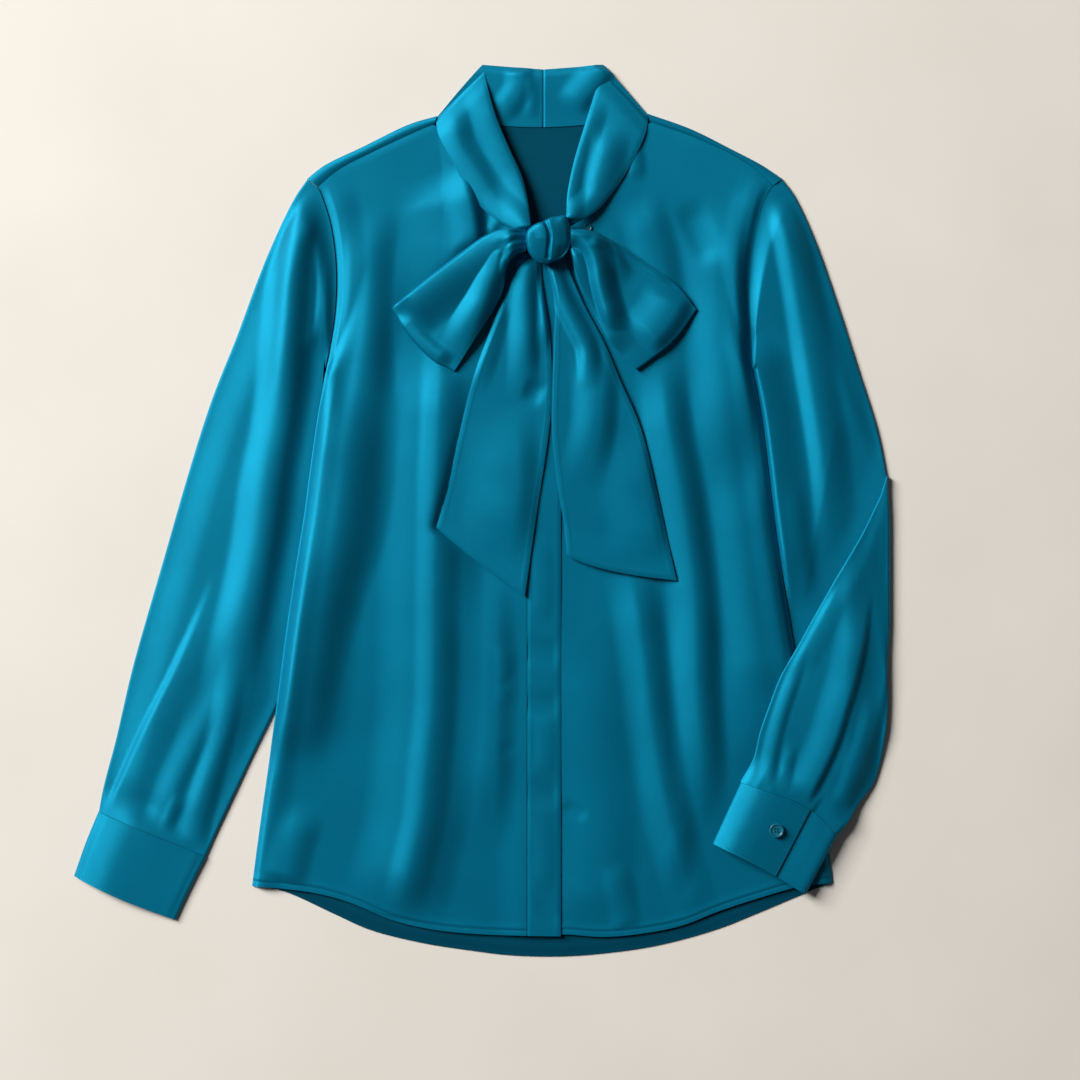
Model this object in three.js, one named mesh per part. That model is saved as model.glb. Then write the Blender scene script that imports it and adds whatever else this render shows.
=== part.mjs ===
// A women's long-sleeved satin blouse with a tie collar knotted in a bow, laid flat on its back.
// Millimetres. The surface that it lies on is z = 0, +Y runs up to the neck and +X to the wearer's left.
// Every panel is a wall worked out from four edges: top, left, right and bottom.
import * as THREE from "three";

// Driving dimensions
const WALL = 1.2; // satin
const DOUBLE_WALL = 1.5; // doubled satin of the collar, the placket and the cuffs
const SEAM = 0.4; // between two pieces edge to edge
const ARMHOLE_GAP = 0.9; // the same at an armhole, whose edges are rolled
const LAYER = 0.4; // between two pieces that lie on each other
const TUBE_HOLLOW = 0.5; // between the two walls of a pressed sleeve
const BODY_HOLLOW = 0.8; // extra height of the fronts over the back, inside the side seams
const TUCK = 36; // how far a sleeve's underarm edge lies under the body
const TUCK_FADE = 18;
const UNDERARM_Y = 118;
const PLACKET_LEFT = 37;
const PLACKET_EDGE = 65.5;
const CENTRE_BACK = 51;
const ELBOW_FOLD_X = 346;
const ELBOW_TOP_Y = 28;
const ELBOW_BOTTOM_Y = -134;
const FOREARM_REST = 8; // underside of the folded-back forearm where it lies on the body
const BUTTON_RADIUS = 6;
const BUTTON_THICK = 2.6;
const SATIN = { color: 0x007a98, roughness: 0.38, metalness: 0 };
const DYED_BUTTON = { color: 0x006a86, roughness: 0.25, metalness: 0 };

// Heights that follow from them
const TUBE_RISE = WALL + TUBE_HOLLOW; // from one sleeve wall's middle to the other's
const TUBE_THICK = WALL + TUBE_RISE;
const TUCK_LIFT = TUBE_THICK + LAYER;
const FRONT_AIR = 0.25; // the fronts lie this much more than a layer over the back
const FRONT_Z = WALL + LAYER + FRONT_AIR + WALL / 2;
const INNER_FRONT_TOP = FRONT_Z + BODY_HOLLOW + WALL / 2;

const clamp = THREE.MathUtils.clamp;
const mix = THREE.MathUtils.lerp;
const ease = (from, to, value) => {
  const t = clamp((value - from) / (to - from), 0, 1);
  return t * t * (3 - 2 * t);
};
const steps = (count) => Array.from({ length: count + 1 }, (_, i) => i / count);

// A smooth line through rows of x and y, as a function of the share of its length.
function line(rows) {
  const path = new THREE.CatmullRomCurve3(
    rows.map(([x, y]) => new THREE.Vector3(x, y, 0)),
    false,
    "centripetal",
  );
  return (share) => path.getPointAt(clamp(share, 0, 1));
}

// Two lines end to end, the first one taking the given share.
const joined = (first, second, share) => (t) => t <= share ? first(t / share) : second((t - share) / (1 - share));

// The same line as straight stretches of equal share, which both pieces at a seam follow.
const faceted = (edge, count) => (t) => {
  const step = Math.min(Math.floor(clamp(t, 0, 1) * count), count - 1);
  return edge(step / count).lerp(edge((step + 1) / count), clamp(t, 0, 1) * count - step);
};

// The same line moved sideways, to leave a seam.
const shifted = (edge, dx, dy) => (t) => edge(t).add(new THREE.Vector3(dx, dy, 0));

// Flat points between four edges: rows run down, columns run across.
function patch(edges, across, down) {
  const { top, left, right, bottom } = edges;
  const corners = [left(0), right(0), left(1), right(1)];
  return down.map((v) =>
    across.map((u) => {
      const p = new THREE.Vector3();
      p.addScaledVector(top(u), 1 - v).addScaledVector(bottom(u), v);
      p.addScaledVector(left(v), 1 - u).addScaledVector(right(v), u);
      p.addScaledVector(corners[0], -(1 - u) * (1 - v)).addScaledVector(corners[1], -u * (1 - v));
      return p.addScaledVector(corners[2], -(1 - u) * v).addScaledVector(corners[3], -u * v);
    }),
  );
}

// The height that a table of soft folds adds at a point. Each fold runs over three places.
const FOLD_STEPS = 14;
function foldHeight(folds) {
  const traced = folds.map(([x0, y0, x1, y1, x2, y2, halfWidth, height]) => {
    const path = line([[x0, y0], [x1, y1], [x2, y2]]);
    return { halfWidth, height, points: steps(FOLD_STEPS).map(path) };
  });
  return (x, y) => {
    let total = 0;
    for (const { halfWidth, height, points } of traced) {
      let nearest = Infinity;
      let share = 0;
      points.forEach((p, i) => {
        const d = Math.hypot(p.x - x, p.y - y);
        if (d < nearest) {
          nearest = d;
          share = i / FOLD_STEPS;
        }
      });
      const across = Math.max(0, 1 - (nearest / halfWidth) ** 2);
      const along = ease(-0.02, 0.3, share) * ease(-0.02, 0.3, 1 - share);
      total += height * across * across * along;
    }
    return total;
  };
}

// A closed wall round a grid of middle points. A closed grid runs round a tube.
function wallOf(rows, wall, closed = false) {
  const nv = rows.length;
  const nu = rows[0].length;
  const at = (i, j) => rows[clamp(i, 0, nv - 1)][closed ? (j + nu) % nu : clamp(j, 0, nu - 1)];
  const run = (a, b, c) => {
    const before = new THREE.Vector3().subVectors(b, a).normalize();
    const after = new THREE.Vector3().subVectors(c, b).normalize();
    return before.add(after);
  };
  const position = [];
  for (const side of [0.5, -0.5]) {
    for (let i = 0; i < nv; i++) {
      for (let j = 0; j < nu; j++) {
        const alongU = run(at(i, j - 1), at(i, j), at(i, j + 1));
        const alongV = run(at(i - 1, j), at(i, j), at(i + 1, j));
        const normal = alongV.cross(alongU).normalize();
        position.push(...at(i, j).clone().addScaledVector(normal, side * wall).toArray());
      }
    }
  }
  const id = (side, i, j) => side * nv * nu + i * nu + (closed ? j % nu : j);
  const index = [];
  const quad = (a, b, c, d) => index.push(a, b, c, a, c, d);
  const cells = closed ? nu : nu - 1;
  for (let i = 0; i < nv - 1; i++) {
    for (let j = 0; j < cells; j++) {
      quad(id(0, i, j), id(0, i + 1, j), id(0, i + 1, j + 1), id(0, i, j + 1));
      quad(id(1, i, j), id(1, i, j + 1), id(1, i + 1, j + 1), id(1, i + 1, j));
    }
  }
  for (let j = 0; j < cells; j++) {
    quad(id(0, 0, j), id(0, 0, j + 1), id(1, 0, j + 1), id(1, 0, j));
    quad(id(0, nv - 1, j + 1), id(0, nv - 1, j), id(1, nv - 1, j), id(1, nv - 1, j + 1));
  }
  if (!closed) {
    for (let i = 0; i < nv - 1; i++) {
      quad(id(0, i + 1, 0), id(0, i, 0), id(1, i, 0), id(1, i + 1, 0));
      quad(id(0, i, nu - 1), id(0, i + 1, nu - 1), id(1, i + 1, nu - 1), id(1, i, nu - 1));
    }
  }
  return facingOut(position, index);
}

// A geometry whose triangles point outwards.
function facingOut(position, index) {
  const corner = (k) => new THREE.Vector3().fromArray(position, 3 * index[k]);
  let volume = 0;
  for (let k = 0; k < index.length; k += 3) volume += corner(k).dot(corner(k + 1).cross(corner(k + 2)));
  if (volume < 0) index.reverse();
  const geometry = new THREE.BufferGeometry();
  geometry.setAttribute("position", new THREE.Float32BufferAttribute(position, 3));
  geometry.setIndex(index);
  geometry.computeVertexNormals();
  return geometry;
}

// The ring of a pressed tube at one row: back along the lower wall and out along the upper one.
function pressedRing(flat, lowerZ, upperZ) {
  const last = flat.length - 1;
  const outwards = new THREE.Vector3().subVectors(flat[0], flat[last]).normalize();
  const lower = flat.map((p, j) => new THREE.Vector3(p.x, p.y, lowerZ(p, j)));
  const upper = flat.map((p, j) => new THREE.Vector3(p.x, p.y, upperZ(p, j)));
  const edge = (j, sign) => lower[j].clone().lerp(upper[j], 0.5).addScaledVector(outwards, sign * TUBE_RISE / 2);
  return [...lower, edge(last, -1), ...upper.slice().reverse(), edge(0, 1)];
}

// Edges of the body: rows of x and y
const ARMHOLE_STEPS = 6;
const ARMHOLE_RIGHT = faceted(
  line([[-149, 281], [-141, 275], [-135, 261], [-130, 244], [-126, 218], [-125, 190], [-127, 162], [-133, 126]]),
  ARMHOLE_STEPS,
);
const SIDE_RIGHT = line([
  [-133, 126], [-140, 89], [-147, 42], [-153, -4], [-159, -42], [-168, -103], [-177, -173], [-192, -281], [-197, -320],
]);
const ARMHOLE_LEFT = faceted(
  line([[253, 281], [246, 276], [239, 265], [232, 241], [227, 212], [225, 184], [227, 145], [228, 117]]),
  ARMHOLE_STEPS,
);
const SIDE_LEFT = line([
  [228, 117], [235, 82], [241, 37], [245, 3], [251, -41], [264, -120], [279, -204], [293, -285], [297, -317],
]);
const SHOULDER_TOP_RIGHT = line([[-149, 281], [-135, 292], [-102, 308], [-63, 327], [-40, 334]]);
const SHOULDER_TOP_LEFT = line([[140, 336], [176, 323], [210, 306], [235, 293], [253, 281]]);
const SHOULDER_SEAM_RIGHT = line([[-141, 275], [-124, 289], [-91, 306], [-52, 324], [-42, 328]]);
const SHOULDER_SEAM_LEFT = line([[142, 330], [184, 315], [222, 296], [246, 276]]);
const NECK_STEPS = 4;
const NECK_BACK = faceted(line([[-40, 334], [6, 328], [51, 326], [96, 329], [140, 336]]), NECK_STEPS);
const NECK_FRONT_RIGHT = line([[-42, 328], [-27, 313], [-5, 298], [11, 277], [25, 255], [34, 233]]);
const NECK_FRONT_LEFT = line([[40, 233], [85, 251], [97, 268], [109, 291], [123, 314], [142, 330]]);
const HEM_RIGHT = line([
  [-197, -320], [-172, -322], [-142, -326], [-113, -334], [-77, -349], [-42, -357], [1, -361], [36.6, -362],
]);
const HEM_LEFT = line([
  [40, -362], [70, -361], [101, -363], [136, -360], [170, -353], [198, -342], [231, -331], [270, -320], [297, -317],
]);
const HEM_BACK = line([
  [-197, -320], [-172, -324], [-125, -345], [-98, -357], [-55, -368], [-11, -375], [23, -379], [62, -380],
  [96, -378], [146, -371], [198, -357], [231, -344], [274, -326], [297, -317],
]);

// How high the sleeve tucked under a side carries the body there
function tuckLift(fromSide, y, lowest) {
  const reach = 1 - ease(TUCK, TUCK + TUCK_FADE, fromSide);
  return TUCK_LIFT * reach * ease(0, TUCK_FADE, UNDERARM_Y + 8 - y) * ease(-34, 0, y - lowest);
}
const LOWEST_TUCK_RIGHT = -178;
const LOWEST_TUCK_LEFT = -130;
const ARMHOLE_SHARE = 0.22;
const SIDE_SHARES = [0.045, 0.1, 0.19, 0.28, 0.37, 0.46, 0.55, 0.64, 0.73, 0.82, 0.91, 1];
const DOWN = [
  ...steps(ARMHOLE_STEPS).map((t) => t * ARMHOLE_SHARE),
  ...SIDE_SHARES.map((t) => ARMHOLE_SHARE + t * (1 - ARMHOLE_SHARE)),
];

// The back lies on the surface. It reaches past the shoulder seams, which lie to the front, as a flat
// strip beside the fronts' edge.
function back() {
  const across = [0, 0.03, 0.07, 0.11, 0.16, 0.25, 0.375, 0.5, 0.625, 0.75, 0.84, 0.89, 0.93, 0.97, 1];
  const edges = {
    top: joined(joined(SHOULDER_TOP_RIGHT, NECK_BACK, 1 / 3), SHOULDER_TOP_LEFT, 0.75),
    left: joined(ARMHOLE_RIGHT, SIDE_RIGHT, ARMHOLE_SHARE),
    right: joined(ARMHOLE_LEFT, SIDE_LEFT, ARMHOLE_SHARE),
    bottom: HEM_BACK,
  };
  const rows = patch(edges, across, DOWN);
  for (const row of rows) {
    for (const p of row) {
      const right = tuckLift(p.x - row[0].x, row[0].y, LOWEST_TUCK_RIGHT);
      const left = tuckLift(row.at(-1).x - p.x, row.at(-1).y, LOWEST_TUCK_LEFT);
      p.z = WALL / 2 + right + left;
    }
  }
  return wallOf(rows, WALL);
}

// Folds of the fronts: start x and y, middle x and y, end x and y, half width, height
const FRONT_RIGHT_FOLDS = [
  [-98, 292, -99, 200, -106, 110, 24, 6],
  [-112, 90, -116, 0, -120, -90, 28, 5],
  [-56, 20, -46, -140, -88, -345, 27, 9],
  [0, -90, -6, -210, -14, -362, 26, 5],
  [-158, -120, -166, -220, -160, -322, 22, 6],
  [-36, 290, -40, 225, -30, 150, 16, 4],
  [-75, 300, -66, 240, -70, 160, 14, 3],
  [-118, -190, -122, -260, -124, -330, 18, 4],
];
const FRONT_LEFT_FOLDS = [
  [186, 262, 204, 130, 212, 0, 26, 7],
  [118, -60, 141, -220, 168, -355, 22, 8],
  [174, -60, 178, -170, 192, -262, 18, 5],
  [86, -110, 94, -240, 100, -362, 24, 5],
  [150, 300, 160, 220, 166, 130, 18, 4],
  [218, -30, 226, -110, 236, -178, 18, 4],
  [120, 270, 128, 225, 140, 165, 14, 3],
];
// Folds lie low under the bow's loops and tails and under the folded-back forearm:
// the share of their height that is left there, and how far out they come back to the whole of it
const UNDER_BOW = 0.1;
const UNDER_FOREARM = 0.3;
const CALM_FADE = { bow: 26, forearm: 30 };
function frontCalm(x, y) {
  const offLoops = Math.max(-84 - x, x - 186, 110 - y, y - 242);
  const offTails = Math.max(-44 - x, x - 168, -80 - y, y - 242);
  const offForearm = Math.max((262 - x) * 0.75 + (y + 190) * 0.5, y + 110);
  const bow = mix(UNDER_BOW, 1, ease(0, CALM_FADE.bow, Math.min(offLoops, offTails)));
  const forearm = mix(UNDER_FOREARM, 1, ease(0, CALM_FADE.forearm, offForearm));
  return bow * forearm;
}

const SIDE_FADE = 22; // from the side seam to the fronts' full height
const CENTRE_FADE = 26; // and from there down to the centre edge
function frontWall(edges, across, sideLeft, lowest, folds, centreZ) {
  const rows = patch(edges, across, DOWN);
  const rise = foldHeight(folds);
  rows.forEach((row, i) => {
    const side = sideLeft ? row[0].clone() : row.at(-1).clone();
    const centre = sideLeft ? row.at(-1).clone() : row[0].clone();
    for (const p of row) {
      const fromSide = Math.abs(p.x - side.x);
      const toCentre = Math.abs(centre.x - p.x);
      const inside = i === 0 ? 0 : ease(0, SIDE_FADE, fromSide);
      const centreBlend = 1 - ease(0, CENTRE_FADE, toCentre);
      const folded = rise(p.x, p.y) * frontCalm(p.x, p.y) * inside * (1 - centreBlend);
      const fullness = BODY_HOLLOW * inside + folded;
      p.z = FRONT_Z + tuckLift(fromSide, side.y, lowest) + fullness + centreZ * centreBlend;
    }
  });
  return wallOf(rows, WALL);
}

const SIDE_COLUMNS = [0, 0.035, 0.08, 0.13, 0.19];
function frontRight() {
  const across = [...SIDE_COLUMNS, ...steps(14).slice(1).map((t) => 0.19 + 0.81 * t)];
  const edges = {
    top: joined(SHOULDER_SEAM_RIGHT, NECK_FRONT_RIGHT, 0.5),
    left: joined(belowStrip(ARMHOLE_RIGHT), SIDE_RIGHT, ARMHOLE_SHARE),
    right: line([[34, 233], [35.6, 120], [36.6, 0], [36.6, -362]]),
    bottom: HEM_RIGHT,
  };
  return frontWall(edges, across, true, LOWEST_TUCK_RIGHT, FRONT_RIGHT_FOLDS, 1.2);
}

function frontLeft() {
  const across = [...steps(14).map((t) => 0.81 * t), ...SIDE_COLUMNS.slice(0, 4).reverse().map((t) => 1 - t)];
  const edges = {
    top: joined(NECK_FRONT_LEFT, SHOULDER_SEAM_LEFT, 0.5),
    left: line([[40, 233], [40, 60], [40, -362]]),
    right: joined(belowStrip(ARMHOLE_LEFT), SIDE_LEFT, ARMHOLE_SHARE),
    bottom: HEM_LEFT,
  };
  return frontWall(edges, across, false, LOWEST_TUCK_LEFT, FRONT_LEFT_FOLDS, 0);
}

// The front's armhole starts below the shoulder strip that belongs to the back
function belowStrip(armhole) {
  return (t) => armhole(Math.max(t, 0.055));
}

// The fly on the right front's edge, over the left front
const PLACKET_Z = INNER_FRONT_TOP + LAYER + DOUBLE_WALL / 2;
const PLACKET_WAVE = 0.5;
function placket() {
  const x0 = PLACKET_LEFT + 0.1;
  const edges = {
    top: line([[x0, 233], [PLACKET_EDGE, 233]]),
    left: line([[x0, 233], [x0, -362]]),
    right: line([[PLACKET_EDGE, 233], [PLACKET_EDGE, -362.4]]),
    bottom: line([[x0, -362], [PLACKET_EDGE, -362.4]]),
  };
  const rows = patch(edges, steps(4), steps(14));
  rows.forEach((row, i) => row.forEach((p, j) => {
    p.z = PLACKET_Z + PLACKET_WAVE * (i % 2) * Math.sin((j * Math.PI) / 4);
  }));
  return wallOf(rows, DOUBLE_WALL);
}

// Sleeves: a pressed tube with its ridges on the upper wall. Its underarm corner stops just short of
// the body's.
const ARMHOLE_END = 0.955;
function aboveUnderarm(armhole) {
  return (t) => armhole(Math.min(t, ARMHOLE_END));
}
const SLEEVE_ACROSS = [0, 0.07, 0.17, 0.28, 0.39, 0.5, 0.61, 0.72, 0.83, 0.93, 1];
const SLEEVE_RIGHT_DOWN = [0, 0.035, 0.09, 0.16, 0.24, 0.32, 0.4, 0.48, 0.56, 0.64, 0.72, 0.8, 0.88, 0.95, 1];
const SLEEVE_RIGHT_FOLDS = [
  [-150, 262, -186, 100, -206, -60, 26, 10],
  [-206, -20, -236, -130, -262, -262, 20, 7],
  [-250, -80, -284, -180, -312, -262, 15, 7],
  [-205, -140, -226, -215, -246, -280, 13, 5],
  [-176, 200, -222, 60, -252, -40, 16, 4],
];
function sleeveRight() {
  const edges = {
    top: shifted(aboveUnderarm(ARMHOLE_RIGHT), -ARMHOLE_GAP, -ARMHOLE_GAP / 2),
    left: line([
      [-149.4, 280.6], [-160, 265], [-182, 219], [-208, 150], [-230, 94], [-252, 25], [-271, -42], [-295, -125],
      [-312, -196], [-322, -235], [-326, -257],
    ]),
    right: line([
      [-132.9, 132], [-139.5, 117], [-143.5, 100], [-138, 78], [-125, 50], [-127, 8], [-133, -34], [-150, -102], [-179, -170],
      [-195, -203], [-217, -249], [-238, -294],
    ]),
    bottom: line([[-326, -257], [-238, -294]]),
  };
  const flat = patch(edges, SLEEVE_ACROSS, SLEEVE_RIGHT_DOWN);
  const last = flat.length - 1;
  const rise = foldHeight(SLEEVE_RIGHT_FOLDS);
  const rows = flat.map((row, i) =>
    pressedRing(row, () => WALL / 2, (p) => {
      const fromBody = sideDistance(SIDE_RIGHT, p, -1);
      const outer = ease(0, 26, row[0].distanceTo(p));
      const full = 3 * outer * ease(2, 26, Math.min(fromBody, row.at(-1).distanceTo(p)) - 3);
      const folds = rise(p.x, p.y) * ease(5, 28, fromBody) * ease(0, 14, row[0].distanceTo(p));
      return WALL / 2 + TUBE_RISE + (full + folds) * ease(0, 2, i) * ease(0, 2, last - i);
    }),
  );
  return wallOf(rows, WALL, true);
}

// How far a point lies outside the body's side edge, with the outward direction along X given by its sign
function sideDistance(side, p, sign) {
  const top = side(0);
  if (p.y > top.y) return Infinity;
  let best = top;
  for (const t of steps(40)) {
    const q = side(t);
    if (Math.abs(q.y - p.y) < Math.abs(best.y - p.y)) best = q;
  }
  return (p.x - best.x) * sign;
}

// The left sleeve runs down, folds over at the elbow and comes back over itself with its other face up
const SLEEVE_LEFT_FOLDS = [
  [250, 262, 284, 130, 300, -20, 24, 9],
  [236, 190, 252, 80, 262, -30, 15, 5],
  [276, 236, 310, 130, 330, 40, 12, 4],
];
const FOREARM_FOLDS = [
  [312, -20, 276, -120, 232, -222, 13, 7],
  [326, -50, 304, -150, 262, -244, 13, 6],
  [338, -110, 330, -190, 296, -262, 13, 6],
];
const UPPER_DOWN = [0, 0.05, 0.14, 0.25, 0.37, 0.5, 0.62, 0.74, 0.87, 1];
const FOREARM_STEPS = 10;
const CUFF_SEAM_LEFT = faceted(line([[219, -231], [274, -252], [300, -275]]), 2);
const FOLD_AIR = 0.25; // between the two arms of the sleeve where it turns over
const FOLD_RADIUS = TUBE_THICK + FOLD_AIR;
const FOREARM_FULLNESS = 3;
const FOREARM_LEFT_EDGE = line([
  [346, 28], [323, -19], [297, -63], [265, -120], [253, -141], [243, -167], [235, -190], [230, -211], [219, -231],
]);
function forearmUnderside(p) {
  return mix(FOLD_RADIUS + FOLD_AIR, FOREARM_REST, ease(0, 34, ELBOW_FOLD_X - 6 - p.x));
}
function sleeveLeft() {
  const foldX = ELBOW_FOLD_X - FOLD_RADIUS;
  const crease = line([[foldX, ELBOW_TOP_Y], [foldX, ELBOW_BOTTOM_Y]]);
  const upper = patch(
    {
      top: shifted(aboveUnderarm(ARMHOLE_LEFT), ARMHOLE_GAP, -ARMHOLE_GAP / 2),
      left: line([[253.4, 280.6], [263, 268], [280, 232], [300, 176], [319, 117], [335, 66], [foldX, ELBOW_TOP_Y]]),
      right: line([
        [228.8, 122.3], [233.5, 108], [238, 92], [233, 72], [223, 48], [228, 8], [239, -42], [254, -84], [272, -116],
        [300, -132], [foldX, ELBOW_BOTTOM_Y],
      ]),
      bottom: crease,
    },
    SLEEVE_ACROSS,
    UPPER_DOWN,
  );
  const lastUpper = UPPER_DOWN.length - 1;
  const riseUpper = foldHeight(SLEEVE_LEFT_FOLDS);
  const rings = upper.map((row, i) =>
    pressedRing(row, () => WALL / 2, (p) => {
      const clear = Math.min(sideDistance(SIDE_LEFT, p, 1), beforeForearm(p));
      const ends = ease(0, 2, i) * ease(0, 2, lastUpper - i);
      const full = 3 * ease(0, 26, row[0].distanceTo(p)) * ease(0, 26, row.at(-1).distanceTo(p));
      const fold = riseUpper(p.x, p.y) * ease(0, 14, row[0].distanceTo(p));
      return WALL / 2 + TUBE_RISE + (full + fold) * ease(5, 26, clear) * ends;
    }),
  );
  for (const turn of [-45, 0, 45]) {
    const angle = THREE.MathUtils.degToRad(turn);
    const ring = pressedRing(upper.at(-1), () => 0, () => TUBE_RISE);
    rings.push(ring.map((p) => {
      const radius = FOLD_RADIUS - WALL / 2 - p.z;
      return new THREE.Vector3(foldX + radius * Math.cos(angle), p.y, FOLD_RADIUS + radius * Math.sin(angle));
    }));
  }
  const lower = patch(
    {
      top: crease,
      left: joined(line([[foldX, ELBOW_TOP_Y], [338, 12]]), line([
        [338, 12], [323, -19], [297, -63], [265, -120], [253, -141], [243, -167], [235, -190], [230, -211], [219, -231],
      ]), 0.06),
      right: line([[foldX, ELBOW_BOTTOM_Y], [343, -169], [340, -196], [332, -230], [318, -249], [309, -264], [300, -275]]),
      bottom: CUFF_SEAM_LEFT,
    },
    SLEEVE_ACROSS,
    steps(FOREARM_STEPS),
  );
  const riseLower = foldHeight(FOREARM_FOLDS);
  lower.forEach((row, i) => {
    const under = (p) => forearmUnderside(p) + WALL / 2;
    const top = (p) => {
      const ends = ease(0, 3, i) * ease(-0.3, 1.5, FOREARM_STEPS - i);
      const inwards = ease(0, 20, row[0].distanceTo(p)) * ease(0, 20, row.at(-1).distanceTo(p));
      const full = FOREARM_FULLNESS * inwards;
      return under(p) + TUBE_RISE + (full + riseLower(p.x, p.y)) * ends;
    };
    rings.push(pressedRing(row, top, under));
  });
  return wallOf(rings, WALL, true);
}

// How far a point of the upper sleeve lies short of the forearm that covers it
function beforeForearm(p) {
  let best = Infinity;
  for (const t of steps(30)) {
    const q = FOREARM_LEFT_EDGE(t);
    best = Math.min(best, q.distanceTo(new THREE.Vector3(p.x, p.y, 0)));
  }
  const start = FOREARM_LEFT_EDGE(0);
  const slope = (start.x - p.x) * 0.88 - (start.y - p.y) * 0.48;
  return slope > 0 ? best : 0;
}

// Cuffs, just short of the sleeves' lower edges
const CUFF_DROP = SEAM + 0.2;
const CUFF_HOLLOW = 1.9; // between the middles of the two walls at the folds
const CUFF_FULLNESS = 1.6; // more than that inside the folds
function cuffRight() {
  const edges = {
    top: line([[-326, -257 - CUFF_DROP], [-238, -294 - CUFF_DROP]]),
    left: line([[-326, -257 - CUFF_DROP], [-337, -284], [-347, -312]]),
    right: line([[-238, -294 - CUFF_DROP], [-252, -322], [-264, -348]]),
    bottom: line([[-347, -312], [-305, -332], [-264, -348]]),
  };
  const across = 6;
  const under = () => DOUBLE_WALL / 2;
  const over = (p, j) => under() + CUFF_HOLLOW + CUFF_FULLNESS * ease(0, 3, j) * ease(0, 3, across - j);
  const rows = patch(edges, steps(across), steps(3)).map((row) => pressedRing(row, under, over));
  return wallOf(rows, DOUBLE_WALL, true);
}

// The left cuff's section winds from the overlap's end, round the underside, to its under end.
// Columns: share across the cuff, height
const CUFF_SECTION = [
  [0.67, 5.9], [0.5, 6.3], [0.25, 5.8], [0.04, 4.6], [0, 2.8], [0.03, 0.9], [0.2, 0], [0.5, 0], [0.8, 0],
  [0.97, 0.2], [1, 1.4], [0.97, 2.7], [0.85, 3.1], [0.7, 3.1], [0.5, 3.1],
];
function cuffLeft() {
  const top = shifted(CUFF_SEAM_LEFT, -0.3, -SEAM - 0.3);
  const edges = {
    top,
    left: line([top(0).toArray(), [195, -283]]),
    right: line([top(1).toArray(), [273, -326]]),
    bottom: line([[195, -283], [235, -303], [273, -326]]),
  };
  const rows = patch(edges, CUFF_SECTION.map(([share]) => share), steps(4));
  rows.forEach((row) => row.forEach((p, j) => {
    p.z = FOREARM_REST + DOUBLE_WALL / 2 + CUFF_SECTION[j][1];
  }));
  return wallOf(rows, DOUBLE_WALL);
}

// Collar: two halves at the back, then a tie over each shoulder down to the knot
const COLLAR_Z = DOUBLE_WALL / 2;
function collarBack(side) {
  const right = side < 0;
  const edges = right
    ? {
        top: line([[-1, 379], [24, 377], [CENTRE_BACK - SEAM / 2, 375]]),
        left: line([[-1, 379], [-21, 357], [-40, 334.6]]),
        right: line([[CENTRE_BACK - SEAM / 2, 375], [CENTRE_BACK - SEAM / 2, 326.6]]),
        bottom: shifted((t) => NECK_BACK(t * 0.498), 0, 0.6),
      }
    : {
        top: line([[CENTRE_BACK + SEAM / 2, 375], [78, 377], [102, 379]]),
        left: line([[CENTRE_BACK + SEAM / 2, 375], [CENTRE_BACK + SEAM / 2, 326.6]]),
        right: line([[102, 379], [120, 359], [140, 336.6]]),
        bottom: shifted((t) => NECK_BACK(0.502 + t * 0.498), 0, 0.6),
      };
  const rows = patch(edges, steps(4), steps(3));
  rows.flat().forEach((p) => {
    p.z = COLLAR_Z;
  });
  return wallOf(rows, DOUBLE_WALL);
}

const TIE_ACROSS = 6;
const TIE_STEPS = 10;
const TIE_REST = FRONT_Z + WALL / 2 + LAYER + DOUBLE_WALL / 2;
const TIE_AIR = 0.6; // between a tie's edges and the front below it
const TIE_CROWN = 3;
const TIE_PLEAT = 1.6;
const TIE_TO_KNOT = 6; // how far a tie rises to the knot
function collarTie(edges) {
  const rows = patch(edges, steps(TIE_ACROSS), steps(TIE_STEPS));
  rows.forEach((row, i) => {
    const v = i / TIE_STEPS;
    row.forEach((p, j) => {
      const u = j / TIE_ACROSS;
      const roll = mix(DOUBLE_WALL + LAYER + DOUBLE_WALL / 2, TIE_REST + TIE_AIR, ease(0, 0.12, v));
      const crown = 4 * u * (1 - u) * TIE_CROWN * (1 + Math.sin(v * Math.PI));
      const pleats = TIE_PLEAT * v * Math.cos(u * Math.PI * 4) * (1 - v);
      p.z = roll + (crown + pleats) * ease(0, 0.2, v) + TIE_TO_KNOT * ease(0.6, 1, v);
    });
  });
  return wallOf(rows, DOUBLE_WALL);
}
function collarFrontRight() {
  return collarTie({
    top: line([[-40, 334], [-21, 356], [-1, 378]]),
    left: line([[-40, 334], [-39, 322], [-24, 292], [-11, 268], [9, 248], [35, 233]]),
    right: line([[-1, 378], [9, 338], [22, 306], [32, 284], [37, 264], [37.5, 250]]),
    bottom: line([[35, 233], [37.5, 250]]),
  });
}
function collarFrontLeft() {
  return collarTie({
    top: line([[102, 378], [120, 358], [140, 335]]),
    left: line([[102, 378], [96, 359], [87, 329], [77, 296], [71, 268], [71, 251]]),
    right: line([[140, 335], [138, 322], [132, 307], [120, 285], [108, 268], [96, 254], [75.5, 238]]),
    bottom: line([[71, 251], [75.5, 238]]),
  });
}

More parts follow.
